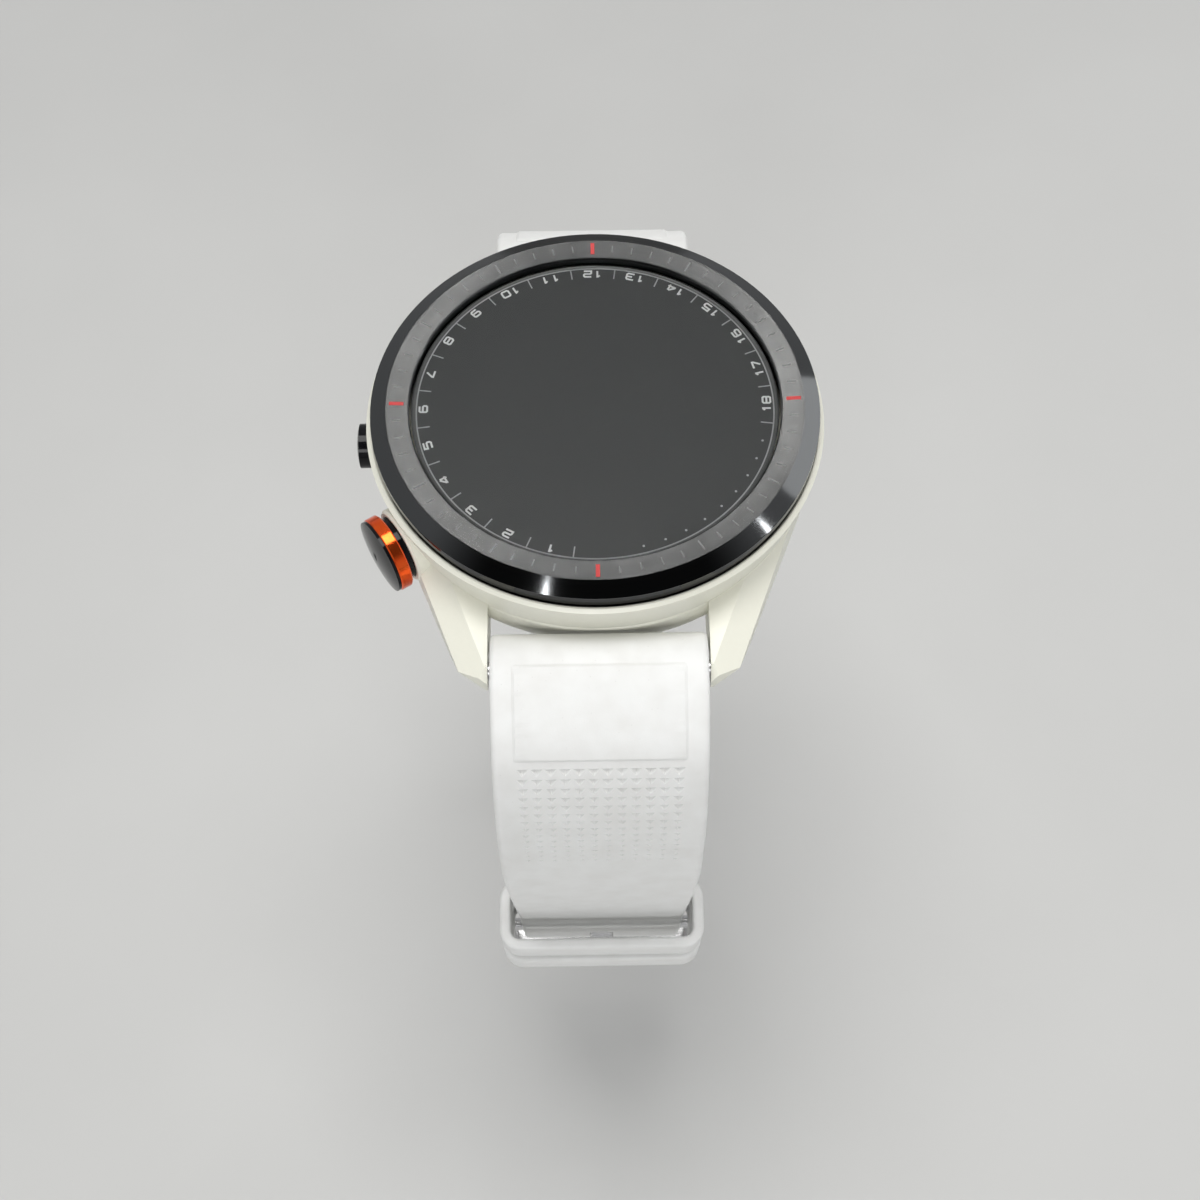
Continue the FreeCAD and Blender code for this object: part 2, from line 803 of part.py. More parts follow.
def make_back():
    cover = revolved("cover_blank", [
        (0, 0), (plateau_radius - s.cover_bevel, 0), (plateau_radius, s.cover_bevel),
        (plateau_radius, s.plateau_height), (cover_radius - s.cover_bevel, s.plateau_height),
        (cover_radius, s.plateau_height + s.cover_bevel), (cover_radius, seat_z), (0, seat_z)])
    window_seat = rod("window_seat", window_radius, s.window_thickness)
    bay_low = (-s.sensor_bay_length / 2, -s.sensor_bay_width / 2, 0)
    bay = block("sensor_bay", bay_low, (s.sensor_bay_length / 2, s.sensor_bay_width / 2, seat_z + 1))
    port_low = (-s.port_length / 2, port_offset - s.port_width / 2, s.plateau_height)
    port_high = (s.port_length / 2, port_offset + s.port_width / 2, seat_z)
    port_hole = block("port_hole", (port_low[0], port_low[1], 0), (port_high[0], port_high[1], seat_z + 1))
    groove_radius = flange_radius + 2 * s.recess_step
    seal_low = seat_z - s.seal_section
    seal = ring(groove_radius, groove_radius + s.seal_section, seal_low, seat_z)
    seal_groove = revolved("seal_groove", ring(groove_radius, groove_radius + s.seal_section, seal_low,
                                               seat_z + s.overrun))
    place_x, place_y = screw_circle * cosine(45), screw_circle * sine(45)
    head_z = s.plateau_height + s.back_screw_head_height
    screw_ways = new_body("screw_ways")
    way = add_pad(screw_ways, "XY_Plane", [], seat_z + 1, 0, [(place_x, place_y, s.back_screw_radius)])
    around_z(screw_ways, way, 4)
    head_ways = new_body("head_ways")
    way = add_pad(head_ways, "XY_Plane", [], head_z, 0, [(place_x, place_y, s.back_screw_head_radius)])
    around_z(head_ways, way, 4)
    node(cut("back_cover", cover, window_seat, bay, port_hole, seal_groove, screw_ways, head_ways))
    node(revolved("back_seal", seal))
    node(padded("sensor_window", "XY_Plane", [], s.window_thickness, 0, [(0, 0, window_radius)]))
    sensor_gap = 2 * s.cover_gap
    node(padded("optical_sensor", "XY_Plane", [rectangle(
        sensor_gap - s.sensor_bay_length / 2, s.sensor_bay_length / 2 - sensor_gap,
        sensor_gap - s.sensor_bay_width / 2, s.sensor_bay_width / 2 - sensor_gap)],
        seat_z - s.window_thickness, s.window_thickness))
    screws = new_body("back_screws")
    head = add_pad(screws, "XY_Plane", [], s.back_screw_head_height, s.plateau_height,
                   [(place_x, place_y, s.back_screw_head_radius)])
    head_pattern = around_z(screws, head, 4)
    shank = add_pad(screws, "XY_Plane", [], s.back_screw_length, head_z,
                    [(place_x, place_y, s.back_screw_radius)])
    around_z(screws, shank, 4)
    doc.recompute()
    socket = add_pocket(screws, "XY_Plane", [], s.driver_socket, s.plateau_height,
                        [(place_x, place_y, s.driver_socket)], reverse=True)
    around_z(screws, socket, 4)
    node(screws)
    make_charge_port(port_low, port_high)


def make_charge_port(low, high):
    body = block("port_body", low, high)
    recess = block("port_recess",
                   (low[0] + s.port_rim, low[1] + s.port_rim, low[2] - 1),
                   (high[0] - s.port_rim, high[1] - s.port_rim, low[2] + s.port_depth))
    start = low[2] + s.port_depth - s.contact_proud
    contacts = []
    holes = []
    for index in range(4):
        x = (index - 1.5) * s.contact_pitch
        contacts.append(rod(f"contact_{index}", s.contact_radius, high[2] - start, (x, port_offset, start)))
        holes.append(rod(f"contact_hole_{index}", s.contact_radius, high[2] - start, (x, port_offset, start)))
    node(cut("charge_port", body, recess, *holes))
    node(group("charge_contacts", contacts))


# ---------------------------------------------------------------- buttons

def coil(label, mean_radius, wire, turns, low, high):
    """Compression spring of square wire along its own Z, with flat-sided turns."""
    sides = 12
    steps = int(round(turns.value * sides))
    radius = mean_radius.value
    foot = low.value + wire.value / 2
    rise = (high.value - low.value - wire.value) / steps
    points = []
    for index in range(steps + 1):
        angle = 2 * math.pi * index / sides
        points.append(FreeCAD.Vector(radius * math.cos(angle), radius * math.sin(angle), foot + rise * index))
    path = Part.makePolygon(points)
    along = points[1] - points[0]
    across = FreeCAD.Vector(1, 0, 0)
    up = along.cross(across).normalize()
    across = up.cross(along).normalize()
    half = wire.value / 2
    signs = ((1, 1), (-1, 1), (-1, -1), (1, -1))
    corners = [points[0] + across * (a * half) + up * (b * half) for a, b in signs]
    section = Part.makePolygon(corners + corners[:1])
    spring = doc.addObject("Part::Feature", label)
    spring.Label = label
    spring.Shape = path.makePipeShell([section], True, False, 1)
    return spring


def dome_radius(edge, rise):
    """Radius of the ball whose cap has this edge radius and rise."""
    return (edge * edge + rise * rise) / (2 * rise)


def make_button(name, angle, boss_radius, face, cap_radius, seat_depth, bore_depth):
    """Cap, stem, seal, clip and spring of one button, each along its own Z."""
    seat = face - seat_depth
    pocket = seat - bore_depth
    bush_end = cavity_radius - s.bush_proud
    stem_foot = bush_end - s.clip_thickness - s.button_travel - s.switch_gap
    cap_foot = seat + s.button_travel + 2 * s.cap_gap
    stem_top = cap_foot + s.socket_depth
    groove_high = pocket - s.oring_groove_width
    groove_low = groove_high - s.oring_groove_width
    groove = s.stem_radius - 2 * s.oring_section + s.stem_gap
    clip_high = bush_end - s.stem_gap
    clip_low = clip_high - s.clip_thickness
    clip_groove = s.stem_radius - 2 * s.oring_section
    r = s.stem_radius
    radial(node(revolved(f"{name}_stem", [
        (0, stem_foot), (r, stem_foot), (r, clip_low), (clip_groove, clip_low), (clip_groove, clip_high),
        (r, clip_high), (r, groove_low), (groove, groove_low), (groove, groove_high), (r, groove_high),
        (r, stem_top), (0, stem_top)])), angle)
    middle = (groove_low + groove_high) / 2
    section = s.oring_section - s.stem_gap / 4
    radial(node(revolved(f"{name}_seal", ring(groove, groove + 2 * section, middle - section,
                                              middle + section))), angle)
    radial(node(revolved(f"{name}_clip", ring(clip_groove, s.clip_radius, clip_low, clip_high),
                         angle=290)), angle)
    bush = r + s.stem_gap + s.bush_wall
    mean = bush + s.spring_pocket_gap / 2 + s.spring_wire / 2
    radial(node(coil(f"{name}_spring", mean, s.spring_wire, s.spring_turns, pocket, cap_foot)), angle)
    return cap_foot, stem_top


def make_action_button():
    cap_foot, stem_top = make_button("action", s.button_angle, *ACTION_SIZES)
    neck_top = cap_foot + s.action_neck_length
    ring_top = neck_top + s.action_ring_width
    plate_top = ring_top + s.action_plate_edge
    plate = s.action_plate_radius
    r = s.stem_radius
    radial(node(revolved("action_cap", [
        (r, cap_foot), (s.action_neck_radius, cap_foot), (s.action_neck_radius, neck_top),
        (s.action_core_radius, neck_top), (s.action_core_radius, ring_top), (plate, ring_top),
        (plate, plate_top), (0, plate_top + s.action_dome_rise, dome_radius(plate, s.action_dome_rise)),
        (0, stem_top), (r, stem_top)])),
        s.button_angle)
    bevel = s.action_ring_bevel
    edge = s.action_ring_radius
    radial(node(revolved("action_ring", [
        (s.action_core_radius, neck_top), (edge - bevel, neck_top), (edge, neck_top + bevel),
        (edge, ring_top - bevel), (edge - bevel, ring_top), (s.action_core_radius, ring_top)])),
        s.button_angle)


def make_small_button(name, angle):
    cap_foot, stem_top = make_button(name, angle, *SMALL_SIZES)
    edge = small_boss_face + s.small_cap_proud - s.small_dome_rise
    r = s.stem_radius
    radial(node(revolved(f"{name}_cap", [
        (r, cap_foot), (s.small_cap_radius, cap_foot), (s.small_cap_radius, edge),
        (0, edge + s.small_dome_rise, dome_radius(s.small_cap_radius, s.small_dome_rise)),
        (0, stem_top), (r, stem_top)])), angle)


def make_switches():
    """Bushes in the case wall, and the tact switch under the board behind each stem."""
    bushes = []
    switches = []
    bush_end = cavity_radius - s.bush_proud
    contact = bush_end - s.clip_thickness - 2 * s.button_travel - 2 * s.switch_gap
    inner = s.stem_radius + s.stem_gap
    for name, angle, sizes in BUTTONS:
        pocket = sizes[1] - sizes[3] - sizes[4]
        bush = revolved(f"{name}_bush", ring(inner, inner + s.bush_wall, bush_end, pocket))
        bushes.append(radial(bush, angle))
        body = padded(f"{name}_switch", "XY_Plane", [rectangle(
            contact - s.switch_depth, contact, -s.switch_width / 2, s.switch_width / 2)],
            s.switch_height, board_z - s.switch_height)
        switches.append(place(body, (0, 0, 0), [(Z_AXIS, angle)]))
    node(group("button_bushes", bushes))
    node(group("tact_switches", switches))


# ---------------------------------------------------------------- strap

def strap_turns(side):
    return [] if side > 0 else [(Z_AXIS, 180), (X_AXIS, -s.tail_lean)]


def on_pin(thing, side, extra=()):
    """Place a strap piece, built about the lug pin, on its side of the case."""
    return place(thing, (0, side * pin_reach, s.pin_height), strap_turns(side) + list(extra))


def strap_points():
    """Corners of the strap's bend in its side view, from the pin outwards."""
    def normal(slope):
        return sine(slope), cosine(slope)

    def along(point, direction, distance):
        return point[0] + direction[0] * distance, point[1] + direction[1] * distance

    start, middle = normal(s.strap_start_slope), normal(s.strap_mid_slope)
    zero = (size(0), size(0))
    bend_centre = along(zero, start, s.hub_radius - s.bend_radius)
    drop_centre = along(bend_centre, middle, s.bend_radius - s.drop_radius)
    inner_bend = s.bend_radius - s.strap_thickness
    reach = s.bend_radius - s.hub_radius
    toward = (reach * reach + s.hub_radius * s.hub_radius - inner_bend * inner_bend) / (2 * reach)
    aside = root(s.hub_radius * s.hub_radius - toward * toward)
    joint = (aside * start[1] - toward * start[0], -aside * start[0] - toward * start[1])
    return {
        "start": along(zero, start, s.hub_radius),
        "joint": joint,
        "bend": along(bend_centre, middle, s.bend_radius),
        "inner_bend": along(bend_centre, middle, inner_bend),
        "inner_radius": inner_bend,
        "drop": along(drop_centre, (1, 0), s.drop_radius),
        "inner_drop": along(drop_centre, (1, 0), s.drop_radius - s.strap_thickness),
        "back": (-s.hub_radius, size(0)),
        "foot": (size(0), -s.hub_radius),
    }


def upper_end():
    """Place and direction of the straight end of the buckle half."""
    p = strap_points()
    lean = s.lean_angle
    out = (cosine(lean), -sine(lean))
    down = (-sine(lean), -cosine(lean))
    centre = (p["drop"][0] - s.lean_radius, p["drop"][1])
    end = (centre[0] + s.lean_radius * out[0], centre[1] + s.lean_radius * out[1])
    return end, out, down


def hub_cuts(name):
    """Openings under the hub for the pin and the latch, in the latch's frame."""
    half = s.strap_width / 2 + s.overrun
    latch_half = s.latch_width / 2
    clear = s.pin_radius + s.pin_clearance
    deep = s.hub_radius + s.overrun
    pieces = [
        rod(f"{name}_pin_way", clear, 2 * half, (-half, 0, 0), [(Y_AXIS, 90)]),
        block(f"{name}_pin_slot", (-half, -clear, -deep), (half, clear, 0)),
        block(f"{name}_latch_recess", (-latch_half, -s.latch_back, -s.latch_bottom),
              (latch_half, s.latch_front, s.latch_top)),
        block(f"{name}_latch_trim", (-latch_half, -deep, -deep - 1), (latch_half, deep, -s.latch_trim)),
    ]
    tools = joined(f"{name}_hub_cuts", pieces)
    return place(tools, (0, 0, 0), [(X_AXIS, -s.latch_tilt)])


def strap_corners(p, end_corners):
    """Side outline shared by both halves, closed by the corners of its own end."""
    return [
        p["start"] + (-s.hub_radius,)] + end_corners + [
        p["inner_bend"] + (s.drop_radius - s.strap_thickness,),
        p["joint"] + (p["inner_radius"],),
        p["foot"] + (-s.hub_radius,),
        p["back"] + (-s.hub_radius,),
    ]


def make_buckle_half():
    p = strap_points()
    end, out, down = upper_end()
    loop = s.bar_radius + s.loop_wall
    thickness = s.strap_thickness
    run = s.buckle_run
    outer_end = (end[0] + down[0] * run, end[1] + down[1] * run)
    bar = (outer_end[0] - out[0] * loop, outer_end[1] - out[1] * loop)
    tip = (bar[0] + down[0] * loop, bar[1] + down[1] * loop)
    below = thickness - loop
    back = root(loop * loop - below * below)
    inner_loop = (bar[0] - out[0] * below - down[0] * back, bar[1] - out[1] * below - down[1] * back)
    inner_end = (end[0] - out[0] * thickness, end[1] - out[1] * thickness)
    inner_tip = (bar[0] - out[0] * loop, bar[1] - out[1] * loop)
    inner_lean = s.lean_radius - thickness
    side = padded("buckle_side", "YZ_Plane", [strap_corners(p, [
        p["bend"] + (-s.bend_radius,),
        p["drop"] + (-s.drop_radius,),
        (end[0], end[1], -s.lean_radius),
        outer_end,
        tip + (-loop,),
        inner_tip + (-loop,),
        inner_loop + (-loop,),
        inner_end,
        p["inner_drop"] + (inner_lean,)])], s.strap_width, symmetric=True)
    half, narrow, bend_top = s.strap_width / 2, s.strap_end_width / 2, s.bend_radius
    notch = s.tongue_width / 2 + s.tongue_gap
    bar_z = bar[1]
    foot = bar_z - 2 * loop
    notch_top = bar_z + loop + s.tongue_thickness + s.tongue_gap
    front = padded("buckle_front", "XZ_Plane", [[
        (-half, bend_top), (-half, -s.taper_start), (-narrow, -s.taper_end), (-narrow, foot), (-notch, foot),
        (-notch, notch_top), (notch, notch_top), (notch, foot), (narrow, foot),
        (narrow, -s.taper_end), (half, -s.taper_start), (half, bend_top)]], s.cutter_reach, symmetric=True)
    form = common("buckle_half_form", side, front)
    wide = half + s.overrun
    bar_hole = rod("bar_hole", s.bar_radius, 2 * wide, (-wide, bar[0], bar[1]), [(Y_AXIS, 90)])
    band = node(cut("buckle_strap", form, hub_cuts("upper"), bar_hole))
    on_pin(band, 1)
    return bar, end


def make_tail_half():
    p = strap_points()
    foot = p["drop"][1] - s.tail_run
    thickness = s.strap_thickness
    side = padded("tail_side", "YZ_Plane", [strap_corners(p, [
        p["bend"] + (-s.bend_radius,),
        p["drop"] + (-s.drop_radius,),
        (p["drop"][0], foot),
        (p["drop"][0] - thickness, foot),
        p["inner_drop"]])], s.strap_width, symmetric=True)
    half, narrow, bend_top = s.strap_width / 2, s.strap_end_width / 2, s.bend_radius
    shoulder = foot + s.tail_tip_radius
    front = new_body("tail_front")
    add_pad(front, "XZ_Plane", [[
        (-half, bend_top), (-half, -s.taper_start), (-narrow, -s.taper_end), (-narrow, shoulder),
        (0, foot, s.tail_tip_radius + 1), (narrow, shoulder, s.tail_tip_radius + 1),
        (narrow, -s.taper_end), (half, -s.taper_start), (half, bend_top)]], s.cutter_reach, symmetric=True)
    doc.recompute()
    hole = add_pocket(front, "XZ_Plane", [], s.cutter_reach, 0,
                      [(0, -s.strap_hole_start, s.strap_hole_radius)], symmetric=True)
    holes = front.newObject("PartDesign::LinearPattern", "strap_holes")
    holes.Originals = [hole]
    holes.Direction = (origin_part(front, "Z_Axis"), [""])
    holes.Reversed = True
    bind(holes, "Length", (s.strap_hole_count - 1) * s.strap_hole_pitch)
    bind(holes, "Occurrences", s.strap_hole_count)
    front.Tip = holes
    form = common("tail_half_form", side, front)
    on_pin(node(cut("tail_strap", form, hub_cuts("lower"))), -1)


def make_latch(name, side):
    """Metal claw that hooks on the lug pin, its slide and the two strip springs."""
    tilt = [(X_AXIS, -s.latch_tilt)]
    half = s.latch_width / 2
    wing = s.slider_width / 2 + s.slider_wing
    low = s.slider_top + s.slider_thickness
    gap = s.slider_gap
    bore = s.pin_radius + s.pin_gap
    spring_wall = s.latch_front - s.latch_front_wall
    wide = half + s.overrun
    claw = cut(f"{name}_latch_cradle",
               block(f"{name}_claw", (-half, -s.latch_back, -s.latch_bottom),
                     (half, s.latch_front, s.latch_top)),
               rod(f"{name}_claw_bore", bore, 2 * wide, (-wide, 0, 0), [(Y_AXIS, 90)]),
               block(f"{name}_claw_mouth", (-wide, -bore, -s.latch_bottom - s.overrun), (wide, bore, 0)),
               block(f"{name}_channel", (-wing - gap, -s.slider_front - gap, -low - gap),
                     (wing + gap, spring_wall, gap - s.slider_top)),
               block(f"{name}_channel_mouth", (-s.slider_width / 2 - gap, 0, -low - gap),
                     (s.slider_width / 2 + gap, s.latch_front + 1, gap - s.slider_top)))
    on_pin(node(claw), side, tilt)
    tab = s.latch_front + s.slider_tab_gap
    wing_end = s.slider_wing_depth - s.slider_front
    slider = joined(f"{name}_latch_slider", [
        block(f"{name}_wings", (-wing, -s.slider_front, -low), (wing, wing_end, -s.slider_top)),
        block(f"{name}_plate", (-s.slider_width / 2, -s.slider_front, -low),
              (s.slider_width / 2, tab + s.slider_tab, -s.slider_top)),
        block(f"{name}_tab", (-s.slider_width / 2, tab, -low - s.slider_tab_drop),
              (s.slider_width / 2, tab + s.slider_tab, -s.slider_top))])
    on_pin(node(slider), side, tilt)
    folds = 4
    pitch = (spring_wall - wing_end) / (2 * folds)
    left = s.slider_width / 2 + s.slider_wing / 2 - s.latch_spring_width / 2
    strip = s.latch_spring_strip
    outline = [(left, wing_end)]
    for index in range(1, 2 * folds):
        x = left + (s.latch_spring_width - strip if index % 2 else 0)
        outline.append((x, wing_end + index * pitch))
    outline.append((left, spring_wall))
    outline.append((left + strip, spring_wall))
    for index in range(2 * folds - 1, 0, -1):
        x = left + strip + (s.latch_spring_width - strip if index % 2 else 0)
        outline.append((x, wing_end + index * pitch))
    outline.append((left + strip, wing_end))
    spring = padded(f"{name}_zigzag", "XY_Plane", [outline], s.slider_thickness - 2 * gap, gap - low)
    springs = group(f"{name}_latch_springs", [spring, mirrored(f"{name}_zigzag_mirror", spring, X_AXIS)])
    on_pin(node(springs), side, tilt)


def make_lug_pins():
    half = s.strap_width / 2 + s.strap_gap
    for name, side in (("upper", 1), ("lower", -1)):
        end = half + s.pin_end_length
        outline = [(0, -end), (s.pin_end_radius, -end), (s.pin_end_radius, -half), (s.pin_radius, -half),
                   (s.pin_radius, half), (s.pin_end_radius, half), (s.pin_end_radius, end), (0, end)]
        pin = revolved(f"{name}_lug_pin", outline)
        node(place(pin, (0, side * pin_reach, s.pin_height), [(Y_AXIS, 90)]))


# ---------------------------------------------------------------- buckle and keepers

def make_buckle(bar, end):
    """Pieces at the end of the buckle half, built about the bar with -Z along the strap."""
    lean = [(X_AXIS, -s.lean_angle)]
    centre = (0, pin_reach + bar[0], s.pin_height + bar[1])
    loop = s.bar_radius + s.loop_wall
    inner = s.strap_width / 2 + s.buckle_gap
    outer = inner + s.buckle_arm_width
    low = -s.buckle_length - s.buckle_bar_width
    bar_half = outer - s.bar_inset
    way_half = bar_half + s.bar_end_gap
    node(place(rod("buckle_bar", s.bar_radius, 2 * bar_half), (-bar_half,) + centre[1:], [(Y_AXIS, 90)]))
    corner = s.buckle_corner
    thick = s.buckle_thickness
    frame = new_body("frame_blank")
    add_pad(frame, "XZ_Plane", [[
        (-outer, loop), (-outer, low + corner), (corner - outer, low, corner), (outer - corner, low),
        (outer, low + corner, corner), (outer, loop), (inner, loop), (inner, -s.buckle_length),
        (-inner, -s.buckle_length), (-inner, loop)]], thick, symmetric=True)
    step = block("tongue_step", (-inner, thick / 2 - s.tongue_rise, low - 1),
                 (inner, thick, -s.buckle_length + 0.5))
    bar_way = rod("frame_bar_way", s.bar_radius + s.bar_gap, 2 * way_half, (-way_half, 0, 0), [(Y_AXIS, 90)])
    node(place(cut("buckle_frame", frame, step, bar_way), centre, lean))
    bore = s.bar_radius + s.bar_gap
    rest = thick / 2 - s.tongue_rise + s.bar_gap
    half = s.tongue_width / 2
    ball = s.bar_radius + s.loop_wall
    tongue_side = padded("tongue_side", "YZ_Plane", [[
        (0, ball), (-ball, 0, ball), (0, -ball, ball), (rest, -ball), (rest, low),
        (rest + s.tongue_thickness, low + 1), (rest + s.tongue_thickness, -ball), (ball, 0)]],
        s.tongue_width, symmetric=True)
    wide = half + s.overrun
    tongue_bore = rod("tongue_bore", bore, 2 * wide, (-wide, 0, 0), [(Y_AXIS, 90)])
    node(place(cut("buckle_tongue", tongue_side, tongue_bore), centre, lean))
    make_keeper("fixed_keeper", end, s.fixed_keeper_place, 0)
    make_keeper("free_keeper", end, s.free_keeper_place, s.keeper_gap)


def make_keeper(label, end, distance, gap):
    """Loop round the straight stretch: distance is from the bar end of that stretch."""
    lean = [(X_AXIS, -s.lean_angle)]
    half = s.strap_end_width / 2 + s.keeper_side_gap
    inner_y = -s.strap_thickness - gap
    outer_y = inner_y + s.keeper_slot
    wall = s.keeper_wall
    z = distance - s.buckle_run
    top = z + s.keeper_width
    loop = block(f"{label}_outside", (-half - wall, inner_y - wall, z), (half + wall, outer_y + wall, top))
    hole = block(f"{label}_slot", (-half, inner_y, z - s.overrun), (half, outer_y, top + s.overrun))
    keeper = cut(label, loop, hole)
    node(place(keeper, (0, pin_reach + end[0], s.pin_height + end[1]), lean))


# ---------------------------------------------------------------- build

make_case_shell()
make_bezel()
make_display()
make_electronics()
make_back()
make_lug_pins()
make_switches()
make_action_button()
make_small_button("mid", size(0))
make_small_button("lower", -s.button_angle)
bar_place, straight_start = make_buckle_half()
make_tail_half()
make_latch("upper", 1)
make_latch("lower", -1)
make_buckle(bar_place, straight_start)
doc.recompute()

failed = [thing.Label for thing in doc.Objects if {"Invalid", "Error"} & set(thing.State)]
if failed:
    raise RuntimeError(f"objects that failed: {failed}")
for piece in NODES:
    if piece.Shape.isNull() or not piece.Shape.isValid():
        raise RuntimeError(f"{piece.Label} has no valid shape")
os.makedirs("parts", exist_ok=True)
for piece in NODES:
    piece.Shape.exportStep(f"parts/{piece.Label}.step")
    print(piece.Label, len(piece.Shape.Solids), round(piece.Shape.Volume, 2))
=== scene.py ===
import json
import math

import bmesh
import bpy
from mathutils import Matrix, Vector


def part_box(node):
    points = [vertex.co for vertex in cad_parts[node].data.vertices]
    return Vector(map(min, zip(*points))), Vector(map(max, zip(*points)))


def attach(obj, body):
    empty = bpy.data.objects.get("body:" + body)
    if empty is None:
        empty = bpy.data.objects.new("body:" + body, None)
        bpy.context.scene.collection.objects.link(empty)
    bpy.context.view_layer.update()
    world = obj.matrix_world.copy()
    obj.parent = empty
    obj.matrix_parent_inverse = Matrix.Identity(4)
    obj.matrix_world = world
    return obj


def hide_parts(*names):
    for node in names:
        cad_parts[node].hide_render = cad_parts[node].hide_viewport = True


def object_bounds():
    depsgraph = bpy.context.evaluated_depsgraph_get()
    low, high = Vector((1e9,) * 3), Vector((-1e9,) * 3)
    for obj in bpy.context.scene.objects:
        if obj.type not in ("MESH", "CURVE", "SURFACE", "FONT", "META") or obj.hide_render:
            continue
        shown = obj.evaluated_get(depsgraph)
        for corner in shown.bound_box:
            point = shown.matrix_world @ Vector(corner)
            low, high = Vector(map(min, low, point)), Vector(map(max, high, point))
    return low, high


# The looks of a round golf watch on its frame. Sizes are millimetres in the row frame:
# +Z out of the dial, +Y to twelve o'clock, +X to three o'clock, where the buttons are.

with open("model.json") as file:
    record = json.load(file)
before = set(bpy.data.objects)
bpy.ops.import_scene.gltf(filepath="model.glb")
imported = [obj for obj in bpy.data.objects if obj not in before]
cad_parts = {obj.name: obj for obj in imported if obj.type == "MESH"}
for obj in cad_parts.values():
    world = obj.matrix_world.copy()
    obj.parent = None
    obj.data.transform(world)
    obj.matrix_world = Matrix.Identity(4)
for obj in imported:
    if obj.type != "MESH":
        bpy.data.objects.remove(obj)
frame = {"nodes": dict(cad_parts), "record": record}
CAD_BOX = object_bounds()
NODES = frame["nodes"]
MM = 0.001


def low(node):
    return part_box(node)[0] / MM


def high(node):
    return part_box(node)[1] / MM


# ---------------------------------------------------------------- sizes

GLASS_TOP = high("display_lens").z
GLASS_FOOT = low("display_lens").z
GLASS_RADIUS = high("display_lens").x
BEZEL_TOP = high("bezel_ring").z
BEZEL_RADIUS = high("bezel_ring").x
PIN_PLACE = (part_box("upper_lug_pin")[0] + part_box("upper_lug_pin")[1]) / 2 / MM
CHAMFER_RUN = 1.7
CHAMFER_FOOT = BEZEL_TOP - 0.9
BEZEL_DISH = 0.14

STRAP = {
    "hub": 3.7, "start_slope": 10.0, "mid_slope": 68.0, "bend": 13.0, "drop": 31.0, "lean": 120.0,
    "lean_angle": 11.5, "thick": 2.8, "half": 11.0, "end_half": 10.0, "taper_start": -26.0,
    "taper_end": -50.0, "buckle_run": 24.0, "tail_run": 89.0, "tip_radius": 13.0, "edge": 0.6,
}
TAIL_LEAN = 13.0
HOLE_RADIUS = 1.4
HOLE_PITCH = 6.0
HOLE_START = -38.0
HOLE_COUNT = 11
BAR_RADIUS = 0.75
LOOP_WALL = 1.1
TONGUE_HALF = 1.2
TONGUE_GAP = 0.3
TONGUE_THICKNESS = 1.2
LATCH_TILT = 45.0
LATCH = {"clear": 1.3, "half": 8.0, "behind": 2.4, "ahead": 2.6, "above": 2.0, "roof": 1.0}
OVERRUN = 1.0
KEEPER = {"half": 11.0, "slot": 6.0, "wall": 1.3, "width": 6.0, "corner": 1.2, "edge": 0.42}
FIXED_KEEPER_AT = 5.0
FREE_KEEPER_AT = 13.0
FREE_KEEPER_GAP = 0.3


# ---------------------------------------------------------------- materials

